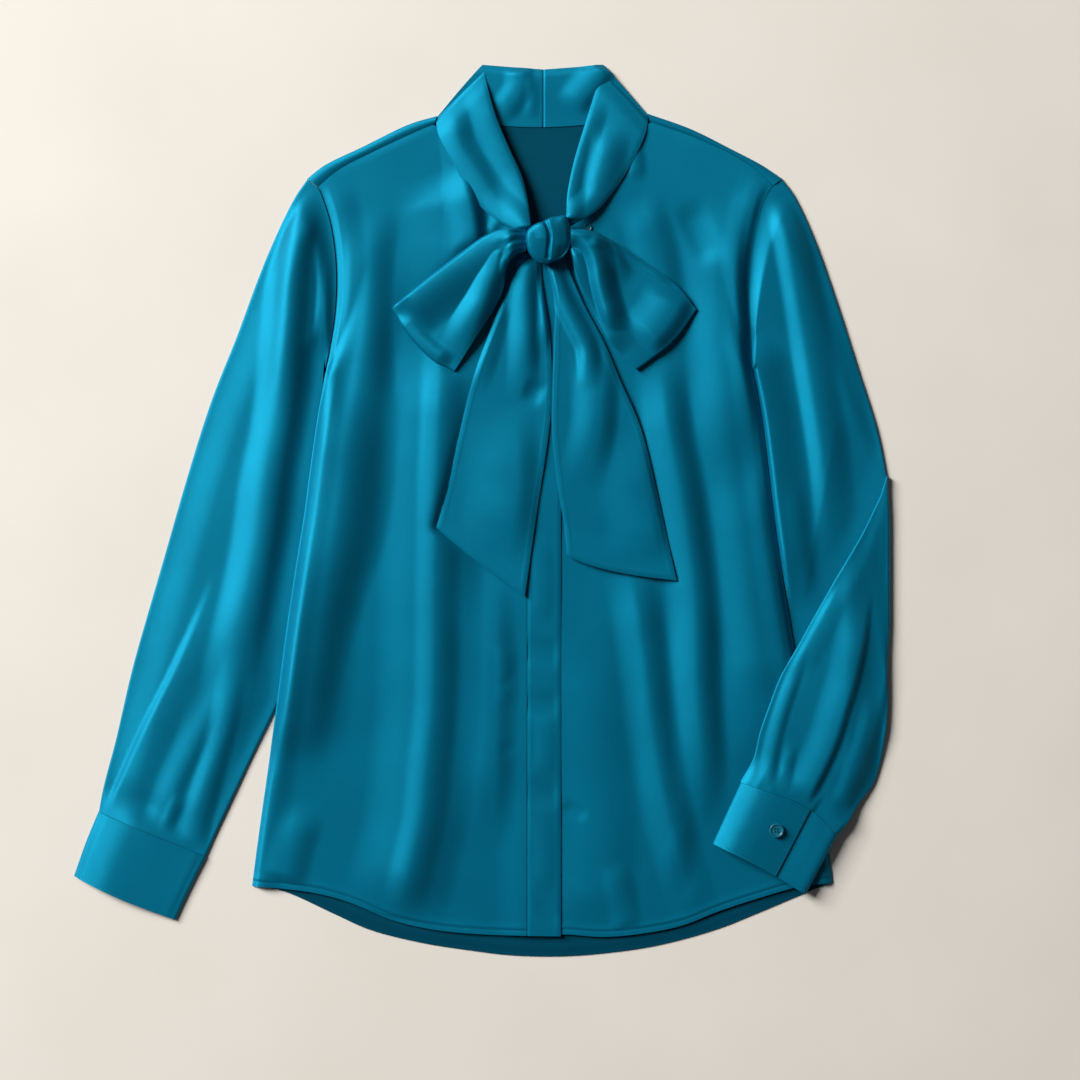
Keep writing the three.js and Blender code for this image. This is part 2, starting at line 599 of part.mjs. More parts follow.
// Bow: the knot, two hairpin loops and two tails
const KNOT = { x: 55, y: 227.5, z: 19, halfX: 18.5, halfY: 20.5, halfZ: 10.6 };
function bowKnot() {
  const around = 22;
  const along = 10;
  const position = [];
  const index = [];
  const pole = (sign) => position.push(KNOT.x + sign * 2, KNOT.y + sign * KNOT.halfY * 0.94, KNOT.z);
  pole(-1);
  for (let i = 1; i < along; i++) {
    const latitude = -Math.PI / 2 + (Math.PI * i) / along;
    const squared = Math.sign(Math.cos(latitude)) * Math.abs(Math.cos(latitude)) ** 0.6;
    for (let j = 0; j < around; j++) {
      const angle = (2 * Math.PI * j) / around;
      const x = Math.sign(Math.cos(angle)) * Math.abs(Math.cos(angle)) ** 0.75 * squared;
      const z = Math.sign(Math.sin(angle)) * Math.abs(Math.sin(angle)) ** 0.8 * squared;
      const groove = z > 0 ? 0.24 * Math.exp(-(((x - 0.1 - 0.22 * Math.sin(latitude * 1.4)) / 0.16) ** 2)) : 0;
      position.push(
        KNOT.x + KNOT.halfX * x,
        KNOT.y + KNOT.halfY * Math.sin(latitude),
        KNOT.z + KNOT.halfZ * z * (1 - groove),
      );
    }
  }
  pole(1);
  const ring = (i, j) => 1 + (i - 1) * around + (j % around);
  for (let j = 0; j < around; j++) {
    index.push(0, ring(1, j + 1), ring(1, j));
    for (let i = 1; i < along - 1; i++) {
      index.push(ring(i, j), ring(i, j + 1), ring(i + 1, j + 1), ring(i, j), ring(i + 1, j + 1), ring(i + 1, j));
    }
    index.push(ring(along - 1, j), ring(along - 1, j + 1), 1 + (along - 1) * around);
  }
  return facingOut(position, index);
}

// A loop leaves the knot, turns in a hairpin at its far edge and comes back under itself.
// The hollow between its two layers is widest a third of the way out.
const LOOP_AIR = 0.9; // more than a layer between a loop and the front below it
const LOOP_REST = INNER_FRONT_TOP + LAYER + LOOP_AIR + WALL / 2;
const LOOP_LIFT = 9; // how much higher a loop's lower layer is at the knot
const LOOP_BELLY = 7;
const LOOP_ACROSS = 8;
const LOOP_TURN = 1.6;
function bowLoop(edges, ridges) {
  const out = steps(7);
  const flat = patch(edges, steps(LOOP_ACROSS), out);
  const rise = foldHeight(ridges);
  const upper = flat.map((row, i) => row.map((p, j) => {
    const v = out[i];
    const lower = LOOP_REST + LOOP_LIFT * (1 - ease(0, 0.55, v));
    const belly = Math.sin(Math.PI * v) ** 0.8 * Math.sin(Math.PI * mix(0.12, 0.88, j / LOOP_ACROSS));
    const hollow = 2 * LOOP_TURN + LOOP_BELLY * belly;
    const over = lower + hollow + rise(p.x, p.y);
    return { lower: new THREE.Vector3(p.x, p.y, lower), upper: new THREE.Vector3(p.x, p.y, over) };
  }));
  const rows = [];
  for (const row of upper) rows.push(row.map((q) => q.upper));
  const tip = upper.at(-1);
  const before = upper.at(-2);
  for (const turn of [45, 0, -45]) {
    const angle = THREE.MathUtils.degToRad(turn);
    rows.push(tip.map((q, j) => {
      const outwards = new THREE.Vector3().subVectors(q.lower, before[j].lower).setZ(0).normalize();
      const middle = q.lower.clone().lerp(q.upper, 0.5);
      const radius = (q.upper.z - q.lower.z) / 2;
      middle.z += radius * Math.sin(angle);
      return middle.addScaledVector(outwards, radius * Math.cos(angle));
    }));
  }
  for (const row of upper.slice().reverse()) rows.push(row.map((q) => q.lower));
  return wallOf(rows, WALL);
}
function bowLoopRight() {
  return bowLoop(
    {
      top: line([[36, 236], [36, 219]]),
      left: line([[36, 236], [19, 237], [3, 232], [-20, 217], [-47, 196], [-77, 172]]),
      right: line([[36, 219], [26, 214], [19, 203], [17, 188], [8, 169], [-8, 144], [-24, 119]]),
      bottom: line([[-77, 172], [-57, 145], [-41, 129], [-24, 119]]),
    },
    [
      [22, 226, -6, 190, -34, 134, 12, 6],
      [16, 236, -30, 202, -66, 172, 8, 3],
    ],
  );
}
function bowLoopLeft() {
  return bowLoop(
    {
      top: line([[74, 219], [74, 236]]),
      left: line([[74, 219], [80, 193], [94, 166], [110, 139], [129, 120]]),
      right: line([[74, 236], [92, 235], [110, 227], [140, 207], [163, 191], [180, 171]]),
      bottom: line([[129, 120], [145, 132], [162, 147], [180, 171]]),
    },
    [
      [82, 230, 98, 188, 122, 138, 11, 6],
      [92, 232, 130, 200, 164, 168, 12, 4],
    ],
  );
}

const TAIL_ACROSS = 8;
const TAIL_STEPS = 12;
const TAIL_AIR = 0.5; // more than a layer between a tail and the placket
const TAIL_REST = PLACKET_Z + DOUBLE_WALL / 2 + LAYER + TAIL_AIR + WALL / 2;
const TAIL_PLEAT = 1.4;
const TAIL_PLEATS = 2; // across the tail at the knot
function bowTail(edges, ridges) {
  const rows = patch(edges, steps(TAIL_ACROSS), steps(TAIL_STEPS));
  const rise = foldHeight(ridges);
  rows.forEach((row, i) => {
    const v = i / TAIL_STEPS;
    row.forEach((p, j) => {
      const wave = 1 + Math.cos(((j / TAIL_ACROSS) * 2 * TAIL_PLEATS + 0.2) * Math.PI);
      const pleats = TAIL_PLEAT * wave * (1 - ease(0, 0.35, v)) * ease(0, 0.12, v);
      p.z = TAIL_REST + rise(p.x, p.y) + pleats;
    });
  });
  return wallOf(rows, WALL);
}
function bowTailRight() {
  return bowTail(
    {
      top: line([[34, 218], [48, 214]]),
      left: line([[34, 218], [25, 204], [17, 180], [3, 145], [-9, 111], [-22, 59], [-31, 18], [-40, -15]]),
      right: line([[48, 214], [50, 189], [56, 150], [58, 110], [56.5, 77], [52, 42], [45, -3], [35, -74]]),
      bottom: line([[-40, -15], [-3, -46], [35, -74]]),
    },
    [
      [30, 200, 14, 100, -4, -20, 14, 4],
      [46, 180, 44, 90, 26, -30, 10, 3],
    ],
  );
}
function bowTailLeft() {
  return bowTail(
    {
      top: line([[52, 214], [67, 218]]),
      left: line([[52, 214], [60, 180], [59.5, 144], [58.5, 110], [58, 68], [63, 20], [68, -11], [71, -39]]),
      right: line([[67, 218], [75, 198], [86, 173], [102, 143], [116, 110], [133, 71], [147, 16], [157, -29], [164, -60]]),
      bottom: line([[71, -39], [91, -47], [120, -54], [164, -60]]),
    },
    [
      [66, 190, 82, 120, 100, 30, 11, 6],
      [92, 160, 120, 60, 140, -40, 13, 3],
    ],
  );
}

// A round button with a raised rim, and holes when it has any
function button(radius, thick) {
  const profile = [
    [0, 0], [radius * 0.8, 0], [radius, thick * 0.3], [radius, thick * 0.75], [radius * 0.9, thick],
    [radius * 0.74, thick], [radius * 0.62, thick * 0.72], [0, thick * 0.7],
  ].map(([r, z]) => new THREE.Vector2(r, z));
  return new THREE.LatheGeometry(profile, 16).rotateX(Math.PI / 2);
}

const blouse = new THREE.Group();
function add(name, geometry, look, place = [0, 0, 0]) {
  const mesh = new THREE.Mesh(geometry, new THREE.MeshStandardMaterial(look));
  mesh.name = name;
  mesh.position.set(...place);
  blouse.add(mesh);
}

add("back", back(), SATIN);
add("front_right", frontRight(), SATIN);
add("front_left", frontLeft(), SATIN);
add("placket", placket(), SATIN);
add("sleeve_right", sleeveRight(), SATIN);
add("sleeve_left", sleeveLeft(), SATIN);
add("cuff_right", cuffRight(), SATIN);
add("cuff_left", cuffLeft(), SATIN);
add("collar_back_right", collarBack(-1), SATIN);
add("collar_back_left", collarBack(1), SATIN);
add("collar_front_right", collarFrontRight(), SATIN);
add("collar_front_left", collarFrontLeft(), SATIN);
add("bow_knot", bowKnot(), SATIN);
add("bow_loop_right", bowLoopRight(), SATIN);
add("bow_loop_left", bowLoopLeft(), SATIN);
add("bow_tail_right", bowTailRight(), SATIN);
add("bow_tail_left", bowTailLeft(), SATIN);
const CUFF_BUTTON_Z = FOREARM_REST + 6.3 + DOUBLE_WALL + LAYER;
add("cuff_button", button(BUTTON_RADIUS, BUTTON_THICK), DYED_BUTTON, [248, -271, CUFF_BUTTON_Z]);
add("neck_button", button(3, 2), DYED_BUTTON, [89, 240, INNER_FRONT_TOP + LAYER]);

export default blouse;
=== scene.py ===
# %% [markdown]
# # A satin blouse with a tie collar, laid flat
# The blouse lies on its back on a pale floor and is seen from straight above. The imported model
# comes first: it says where each piece is, so that every cloth made below lies on its own piece.

# %% Load the model
import bpy
import math
import numpy as np
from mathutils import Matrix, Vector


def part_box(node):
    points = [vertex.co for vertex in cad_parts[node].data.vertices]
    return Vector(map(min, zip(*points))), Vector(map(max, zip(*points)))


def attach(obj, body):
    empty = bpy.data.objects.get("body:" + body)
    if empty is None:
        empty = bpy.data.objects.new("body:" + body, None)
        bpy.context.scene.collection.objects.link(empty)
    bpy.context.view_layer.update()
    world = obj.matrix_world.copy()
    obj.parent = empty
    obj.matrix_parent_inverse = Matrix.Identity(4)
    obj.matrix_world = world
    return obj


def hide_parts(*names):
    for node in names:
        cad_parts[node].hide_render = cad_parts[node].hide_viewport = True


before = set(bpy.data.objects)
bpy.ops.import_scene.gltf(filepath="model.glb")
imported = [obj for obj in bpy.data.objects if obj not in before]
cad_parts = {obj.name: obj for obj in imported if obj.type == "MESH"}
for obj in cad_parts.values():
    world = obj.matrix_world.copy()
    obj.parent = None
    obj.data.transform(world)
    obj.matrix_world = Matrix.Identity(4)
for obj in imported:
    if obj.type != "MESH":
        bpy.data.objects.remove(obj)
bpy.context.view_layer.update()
MM = 0.001
print("pieces of the model:", sorted(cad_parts))

# %% [markdown]
# ## Camera, light and floor
# A flat lay is photographed from a stand, straight down. A long lens keeps the sleeves from
# leaning outwards. Satin shows its folds only when a broad light comes in low from one side: the
# slopes that face it shine and the others go dark. So the main lamp is large and stands at the
# upper left, and the world around gives only a faint fill.

# %% Camera and floor
FRAME_WIDTH = 0.918  # metres of floor from one side of the picture to the other
PICTURE_MIDDLE = (0.048, -0.0255)
CLOTH_HEIGHT = 0.005  # the height at which that width is measured
LENS, SENSOR = 85, 36
bpy.ops.object.select_all(action="DESELECT")
bpy.ops.object.camera_add(location=(*PICTURE_MIDDLE, CLOTH_HEIGHT + FRAME_WIDTH * LENS / SENSOR))
camera = bpy.context.object
camera.data.lens = LENS
camera.rotation_euler = (0, 0, 0)
bpy.context.scene.camera = camera
bpy.context.scene.view_settings.view_transform = "Standard"

bpy.ops.mesh.primitive_plane_add(size=6, location=(0, 0, 0))
floor = bpy.context.object
floor.name = "floor"
print("camera height:", round(camera.location.z, 3), "m")


# %% Lamps
def lamp(name, place, aim, width, height, power, colour=(1, 1, 1)):
    """A flat lamp that shines from one point towards another."""
    bpy.ops.object.light_add(type="AREA", location=place)
    made = bpy.context.object
    made.name = name
    made.data.shape = "RECTANGLE"
    made.data.size, made.data.size_y = width, height
    made.data.energy = power
    made.data.color = colour
    way = [b - a for a, b in zip(place, aim)]
    tilt, turn = math.atan2(math.hypot(way[0], way[1]), -way[2]), math.atan2(way[1], way[0])
    made.rotation_euler = (tilt, 0, turn - math.pi / 2)
    return made


lamp("window", (-4.3, 2.75, 3.6), (0.05, 0, 0), 2.3, 3.5, 625, (1, 0.985, 0.96))
world = bpy.data.worlds.new("room")
bpy.context.scene.world = world
world.use_nodes = True
world.node_tree.nodes["Background"].inputs["Color"].default_value = (0.95, 0.97, 1, 1)
world.node_tree.nodes["Background"].inputs["Strength"].default_value = 0.05


# %% [markdown]
# ## Finishes
# The satin is a close weave of fine thread. It has no pattern, only a soft gloss that spreads over
# each fold. The base is a deep teal with slow changes of shade, the gloss is broad and a little
# blue, and a very fine twill, as deep as a thread, breaks it up when seen from near. The weave
# reads each piece's own flat cut (its UV map is in metres), so it turns with the cloth.

# %% Node helpers
def add_node(tree, kind, **sockets):
    """Adds a node and sets its sockets by name; a value that is a socket is linked."""
    node = tree.nodes.new(kind)
    for key, value in sockets.items():
        name = key.replace("_", " ")
        if isinstance(value, bpy.types.NodeSocket):
            tree.links.new(value, node.inputs[name])
        elif name in node.inputs:
            node.inputs[name].default_value = value
        else:
            setattr(node, key, value)
    return node


def blend_colours(tree, share, first, second):
    """A colour between two, by a share from another node."""
    ramp = tree.nodes.new("ShaderNodeValToRGB")
    ramp.color_ramp.elements[0].position, ramp.color_ramp.elements[0].color = 0.3, (*first, 1)
    ramp.color_ramp.elements[1].position, ramp.color_ramp.elements[1].color = 0.7, (*second, 1)
    tree.links.new(share, ramp.inputs["Fac"])
    return ramp.outputs["Color"]


def added(tree, first, second):
    """The sum of two heights."""
    total = add_node(tree, "ShaderNodeMath", operation="ADD")
    tree.links.new(first, total.inputs[0])
    tree.links.new(second, total.inputs[1])
    return total.outputs["Value"]


def new_finish(name):
    made = bpy.data.materials.new(name)
    made.use_nodes = True
    return made, made.node_tree, made.node_tree.nodes["Principled BSDF"]


# %% Satin
THREADS = (2600, 900, 1)  # threads to a metre, across and down the cut
SLUBS = (130, 820, 1)  # thicker stretches of the weft to a metre
TWILL = 1500.0
WEAVE_STRENGTH, WEAVE_DEPTH = 0.33, 0.0001


def satin(name, deep, light, roughness=0.5, gloss=1.0, metal=0.4):
    """Woven satin: slow change of shade, broad gloss and a fine twill."""
    made, tree, shader = new_finish(name)
    cut = add_node(tree, "ShaderNodeTexCoord").outputs["UV"]
    shade = add_node(tree, "ShaderNodeTexNoise", Vector=cut, Scale=16.0, Detail=3.0)
    tree.links.new(blend_colours(tree, shade.outputs["Fac"], deep, light), shader.inputs["Base Color"])
    thread = add_node(tree, "ShaderNodeMapping", Vector=cut)
    thread.inputs["Scale"].default_value = THREADS
    grain = add_node(tree, "ShaderNodeTexNoise", Vector=thread.outputs["Vector"], Scale=1.0, Detail=2.0)
    twill = add_node(tree, "ShaderNodeTexWave", Vector=cut, Scale=TWILL, Distortion=0.6)
    twill.bands_direction = "DIAGONAL"
    weft = add_node(tree, "ShaderNodeMapping", Vector=cut)
    weft.inputs["Scale"].default_value = SLUBS
    slub = add_node(tree, "ShaderNodeTexNoise", Vector=weft.outputs["Vector"], Scale=1.0, Detail=3.0)
    weave = added(tree, added(tree, grain.outputs["Fac"], twill.outputs["Fac"]), slub.outputs["Fac"])
    bump = add_node(tree, "ShaderNodeBump", Height=weave, Strength=WEAVE_STRENGTH, Distance=WEAVE_DEPTH)
    tree.links.new(bump.outputs["Normal"], shader.inputs["Normal"])
    rough = add_node(tree, "ShaderNodeMapRange", Value=grain.outputs["Fac"])
    rough.inputs["To Min"].default_value = roughness - 0.04
    rough.inputs["To Max"].default_value = roughness + 0.04
    tree.links.new(rough.outputs["Result"], shader.inputs["Roughness"])
    shader.inputs["Specular IOR Level"].default_value = gloss
    shader.inputs["Specular Tint"].default_value = (0.05, 0.85, 1, 1)
    shader.inputs["Metallic"].default_value = metal
    return made


satin_teal = satin("satin_teal", (0.001, 0.165, 0.30), (0.001, 0.19, 0.34))
# The wrong side is duller, which is real; its deep colour is painted shade, darker than the dye, for the neck lying
# under the collar.
shaded_satin_inside = satin("shaded_satin_inside", (0.0, 0.042, 0.088), (0.0, 0.05, 0.1), 0.6, 0.5, 0)
# The thread is the cloth's own teal; its deep colour is painted shade, for the dents that the stitches sink into.
shaded_thread_teal = satin("shaded_thread_teal", (0.0, 0.06, 0.11), (0.0, 0.075, 0.13), 0.55, 0.5, 0)
print("cloth finishes:", satin_teal.name, shaded_satin_inside.name, shaded_thread_teal.name)


# %% Dyed button and floor
def plain_finish(name, deep, light, roughness, scale, bump_depth):
    """A smooth material with a faint cloud of shade, for the buttons and the floor."""
    made, tree, shader = new_finish(name)
    place = add_node(tree, "ShaderNodeTexCoord").outputs["Object"]
    cloud = add_node(tree, "ShaderNodeTexNoise", Vector=place, Scale=scale, Detail=4.0)
    tree.links.new(blend_colours(tree, cloud.outputs["Fac"], deep, light), shader.inputs["Base Color"])
    bump = add_node(tree, "ShaderNodeBump", Height=cloud.outputs["Fac"], Strength=0.2, Distance=bump_depth)
    tree.links.new(bump.outputs["Normal"], shader.inputs["Normal"])
    shader.inputs["Roughness"].default_value = roughness
    return made


dyed_button = plain_finish("dyed_button", (0.0, 0.11, 0.18), (0.01, 0.16, 0.24), 0.3, 500, 0.00005)
floor_finish = plain_finish("pale_floor", (0.835, 0.79, 0.72), (0.875, 0.83, 0.765), 0.85, 6, 0.0002)
floor.data.materials.append(floor_finish)
print("other finishes:", dyed_button.name, floor_finish.name)

# %% [markdown]
# ## Lines, panels and folds
# A pattern cutter draws each panel by its edges. Here an edge is a smooth line through a few
# points, in millimetres, and a panel is the net of points between four edges. A fold is a soft
# ridge along a path of its own, with one reach to each side, because a fold of satin rises slowly
# and then drops.

# %% Lines and nets
def ease(low, high, value):
    """Goes softly from 0 to 1 between two limits."""
    t = np.clip((np.asarray(value, float) - low) / np.subtract(high, low), 0, 1)
    return t * t * (3 - 2 * t)


def line(rows):
    """A smooth line through points, as a function of the share of its length."""
    p = np.array(rows, float)
    p = np.vstack([2 * p[0] - p[1], p, 2 * p[-1] - p[-2]])
    made = []
    for a, b, c, d in zip(p, p[1:], p[2:], p[3:]):
        before, here, after = (math.sqrt(math.hypot(*q)) for q in (b - a, c - b, d - c))
        start = ((b - a) / before - (c - a) / (before + here) + (c - b) / here) * here
        end = ((c - b) / here - (d - b) / (here + after) + (d - c) / after) * here
        s = np.linspace(0, 1, 20, endpoint=False)[:, None]
        made.append(
            (2 * s**3 - 3 * s**2 + 1) * b + (s**3 - 2 * s**2 + s) * start
            + (3 * s**2 - 2 * s**3) * c + (s**3 - s**2) * end
        )
    q = np.vstack([*made, p[-2:-1]])
    share = np.r_[0, np.cumsum(np.hypot(*np.diff(q, axis=0).T))]
    share /= share[-1]
    return lambda t: np.stack([np.interp(t, share, q[:, 0]), np.interp(t, share, q[:, 1])], -1)


def joined(first, second, share):
    """Two lines end to end, the first one taking the given share."""
    def both(t):
        t = np.asarray(t, float)
        early = first(np.clip(t / share, 0, 1))
        late = second(np.clip((t - share) / (1 - share), 0, 1))
        return np.where((t <= share)[..., None], early, late)
    return both


def part_of(edge, start, end):
    return lambda t: edge(start + (end - start) * np.asarray(t, float))


def moved(edge, dx, dy):
    return lambda t: edge(t) + np.array([dx, dy])


def net(top, left, right, bottom, across, down):
    """Flat points between four edges: rows run down, columns run across."""
    u, v = np.asarray(across)[None, :, None], np.asarray(down)[:, None, None]
    t, b, l, r = top(across)[None], bottom(across)[None], left(down)[:, None], right(down)[:, None]
    corners = l[:1] * (1 - u) * (1 - v) + r[:1] * u * (1 - v) + l[-1:] * (1 - u) * v + r[-1:] * u * v
    return t * (1 - v) + b * v + l * (1 - u) + r * u - corners


def shares(count, edge_rows, edge):
    """Even shares from 0 to 1, closer together near both ends."""
    rim = np.linspace(0, edge, edge_rows, endpoint=False)
    return np.r_[rim, np.linspace(edge, 1 - edge, count), 1 - rim[::-1]]


# %% Folds
USUAL_FOLD = [0, 0, 0.3, 0.3]  # crispness of either side, shares to fade in and out
PATH_STEPS = 40
CREST = 1.2  # how round every crest stays, in millimetres


def xy(flat):
    return flat[..., 0], flat[..., 1]


def folds(rows, x, y):
    """The height of soft folds. Each row: path, reach to either side of it, height, and, where they
    aren't the usual ones, how crisp either side is at the crest (0 to 1) and the shares of the path
    over which the fold fades in and out."""
    total = np.zeros_like(x)
    for path, left, right, height, *rest in rows:
        sharp_left, sharp_right, fade_in, fade_out = [*rest, *USUAL_FOLD[len(rest):]]
        p = line(path)(np.linspace(0, 1, PATH_STEPS + 1))
        way = np.gradient(p, axis=0)
        gap = np.stack([x, y], -1)[..., None, :] - p
        nearest = np.argmin((gap**2).sum(-1), -1)
        gap = np.take_along_axis(gap, nearest[..., None, None], -2)[..., 0, :]
        way = way[nearest]
        size = np.hypot(way[..., 0], way[..., 1])
        side = (way[..., 0] * gap[..., 1] - way[..., 1] * gap[..., 0]) / size
        share = (nearest + (way * gap).sum(-1) / size**2) / PATH_STEPS
        reach = np.where(side > 0, right, left)
        sharp = np.where(side > 0, sharp_right, sharp_left)
        d = np.clip((np.sqrt(side**2 + CREST**2) - CREST) / reach, 0, 1)
        shape = (1 - sharp) * (1 - d * d) ** 2 + sharp * (1 - d) ** 2
        along = ease(-0.02, max(fade_in, 0.001), share) * ease(-0.02, max(fade_out, 0.001), 1 - share)
        total += height * shape * along * ease(-3, 0, size * PATH_STEPS * np.minimum(share, 1 - share))
    return total


WAVES = [(1, 0.3, 0.4), (0.7, -0.5, 2.1), (1.5, 0.16, 4.0), (-0.45, 0.8, 1.2)]  # direction and start


def ripple(x, y, size, height, turn=0.0):
    """A faint unevenness that cloth always has: a few crossing waves, the same each time."""
    total = 0
    c, s = math.cos(turn), math.sin(turn)
    for k, (ax, ay, start) in enumerate(WAVES):
        along = (ax * c - ay * s) * x + (ax * s + ay * c) * y
        total = total + np.sin(along * 2 * math.pi / size + start + k) / (1.5 + k)
    return height * total


# %% [markdown]
# ## From a net to a piece of cloth
# Each net becomes a mesh with a UV map of its flat cut in metres. Solidify then gives it the
# thickness of cloth, and smooth shading by angle keeps its cut edges crisp. A sleeve's net runs
# all round, so its last column meets its first.

# %% Piece makers
CLOTH = 0.7
SMOOTH_BELOW = 50  # degrees
made_nets = {}


def only(*pieces):
    """Selects these pieces alone, the first one as the active one."""
    bpy.ops.object.select_all(action="DESELECT")
    for piece in pieces:
        piece.select_set(True)
    bpy.context.view_layer.objects.active = pieces[0]


def new_piece(name, points, faces, cut=None):
    """A mesh from points in millimetres with the UV map of its cut; without one it is seen from above."""
    mesh = bpy.data.meshes.new(name)
    mesh.from_pydata((np.reshape(points, (-1, 3)) * MM).tolist(), [], faces)
    flat = mesh.uv_layers.new(name="cut").data
    if cut is None:
        cut = [mesh.vertices[loop.vertex_index].co.xy for loop in mesh.loops]
    flat.foreach_set("uv", np.ravel(cut))
    made = bpy.data.objects.new(name, mesh)
    bpy.context.collection.objects.link(made)
    only(made)
    return made


def thicken(made, wall):
    """Gives a sheet its thickness, half to each side, and smooth shading."""
    bpy.ops.object.modifier_add(type="SOLIDIFY")
    made.modifiers[-1].thickness = wall * MM
    made.modifiers[-1].offset = 0
    bpy.ops.object.modifier_apply(modifier=made.modifiers[-1].name)
    bpy.ops.object.shade_smooth_by_angle(angle=math.radians(SMOOTH_BELOW))


def finish_piece(made, node, *, finish=satin_teal):
    """What every piece gets: its finish, its body and the model's piece that it stands for."""
    if not made.data.materials:
        made.data.materials.append(finish)
    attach(made, "root")
    if node:
        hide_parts(node)
    return made


def cloth(node, points, *, around=False, wall=CLOTH):
    """Makes a piece of cloth from rows of points in millimetres."""
    rows, columns = points.shape[:2]
    across = np.diff(points, axis=1, append=points[:, :1]) if around else np.diff(points, axis=1)
    down = np.diff(points, axis=0)
    step_across, step_down = np.linalg.norm(across, axis=-1), np.linalg.norm(down, axis=-1)
    u = np.c_[np.zeros(rows), np.cumsum(step_across, axis=1)] * MM
    u -= u[:, -1:] / 2
    v = -np.r_[0, np.cumsum(step_down.mean(axis=1))] * MM
    faces, cut = [], []
    for i in range(rows - 1):
        for j in range(step_across.shape[1]):
            k = (j + 1) % columns
            faces.append((i * columns + j, (i + 1) * columns + j, (i + 1) * columns + k, i * columns + k))
            cut += [(u[i, j], v[i]), (u[i + 1, j], v[i + 1]), (u[i + 1, j + 1], v[i + 1]), (u[i, j + 1], v[i])]
    made = new_piece(f"{node}_cloth", points, faces, cut)
    thicken(made, wall)
    finish_piece(made, node)
    made_nets[node] = points
    return made


# %% [markdown]
# ## The body: back and fronts
# The back lies on the floor. Over each shoulder its edge rolls forward to the seam with the front,
# so a strip of it shows above the seam. Where a sleeve lies tucked under the side, back and front
# are carried by it. Heights follow from the cloth's thickness, layer by layer.

# %% Heights and edges of the body
WALL, DOUBLE_WALL, LAYER = 1.2, 1.5, 0.4
TUBE_HOLLOW = 0.5  # between the two walls of a pressed sleeve
FRONT_AIR = 0.25  # more than a layer between the back and the fronts
BODY_HOLLOW = 0.8  # more than that inside the side seams
TUBE_RISE = WALL + TUBE_HOLLOW
TUBE_THICK = WALL + TUBE_RISE
TUCK_LIFT = TUBE_THICK + LAYER
FRONT_Z = WALL + LAYER + FRONT_AIR + WALL / 2
FRONT_TOP = FRONT_Z + BODY_HOLLOW + WALL / 2
FLAT_Z = WALL / 2
UNDERARM_Y = 126
LOWEST_TUCK_RIGHT, LOWEST_TUCK_LEFT = -178, -130  # where the sleeves come out from below the sides

ARMHOLE_RIGHT = line(
    [(-149, 281), (-141, 275), (-135, 261), (-130, 244), (-126, 218), (-125, 190), (-127, 162), (-133, 126)])
SIDE_RIGHT = line([
    (-133, 126), (-140, 89), (-147, 42), (-153, -4), (-159, -42), (-168, -103), (-177, -173), (-192, -281),
    (-197, -320)])
ARMHOLE_LEFT = line(
    [(253, 281), (246, 276), (239, 265), (232, 241), (227, 212), (225, 184), (227, 145), (228, 117)])
SIDE_LEFT = line([
    (228, 117), (235, 82), (241, 37), (245, 3), (251, -41), (264, -120), (279, -204), (293, -285), (297, -317)])
SHOULDER_TOP_RIGHT = line([(-149, 281), (-135, 292), (-102, 308), (-63, 327), (-40, 334)])
SHOULDER_TOP_LEFT = line([(140, 336), (176, 323), (210, 306), (235, 293), (253, 281)])
SHOULDER_SEAM_RIGHT = line([(-141, 275), (-124, 289), (-91, 306), (-52, 324), (-42, 328)])
SHOULDER_SEAM_LEFT = line([(142, 330), (184, 315), (222, 296), (246, 276)])
NECK_BACK = line([(-40, 334), (6, 328), (51, 326), (96, 329), (140, 336)])
NECK_FRONT_RIGHT = line([(-42, 328), (-27, 313), (-5, 298), (11, 277), (25, 255), (34, 233)])
NECK_FRONT_LEFT = line([(40, 233), (85, 251), (97, 268), (109, 291), (123, 314), (142, 330)])
HEM_RIGHT = line([
    (-197, -320), (-172, -322), (-142, -326), (-113, -334), (-77, -349), (-42, -357), (1, -361), (36.6, -362)])
HEM_LEFT = line([
    (40, -362), (70, -361), (101, -363), (136, -360), (170, -353), (198, -342), (231, -331), (270, -320),
    (297, -317)])
HEM_BACK = line([
    (-197, -320), (-172, -324), (-125, -345), (-98, -357), (-55, -368), (-11, -375), (23, -379), (62, -380),
    (96, -378), (146, -371), (198, -357), (231, -344), (274, -326), (297, -317)])
ARMHOLE_SHARE = 0.22  # of a side's net


def tuck_lift(from_side, y, lowest):
    """How high the sleeve tucked under a side carries the body."""
    below_arm = ease(0, 18, UNDERARM_Y - y) * ease(-34, 0, y - lowest)
    return TUCK_LIFT * (1 - ease(36, 54, from_side)) * below_arm


# %% Back
back_net = net(
    joined(joined(SHOULDER_TOP_RIGHT, NECK_BACK, 1 / 3), SHOULDER_TOP_LEFT, 0.75),
    joined(ARMHOLE_RIGHT, SIDE_RIGHT, ARMHOLE_SHARE),
    joined(ARMHOLE_LEFT, SIDE_LEFT, ARMHOLE_SHARE),
    HEM_BACK, np.linspace(0, 1, 97), shares(120, 8, 0.03),
)
from_right = back_net[..., 0] - back_net[:, :1, 0]
from_left = back_net[:, -1:, 0] - back_net[..., 0]
back_z = FLAT_Z + tuck_lift(from_right, back_net[:, :1, 1], LOWEST_TUCK_RIGHT)
back_z = back_z + tuck_lift(from_left, back_net[:, -1:, 1], LOWEST_TUCK_LEFT)
HEM_RIDGE, BACK_HEM = 0.35, 8  # the turned-up hem's edge shows as a faint ridge so far above the edge
back_z = back_z + HEM_RIDGE * np.exp(-((back_net[..., 1] - back_net[-1:, :, 1] - BACK_HEM) / 2.2) ** 2)
back = cloth("back", np.dstack([back_net, back_z]))

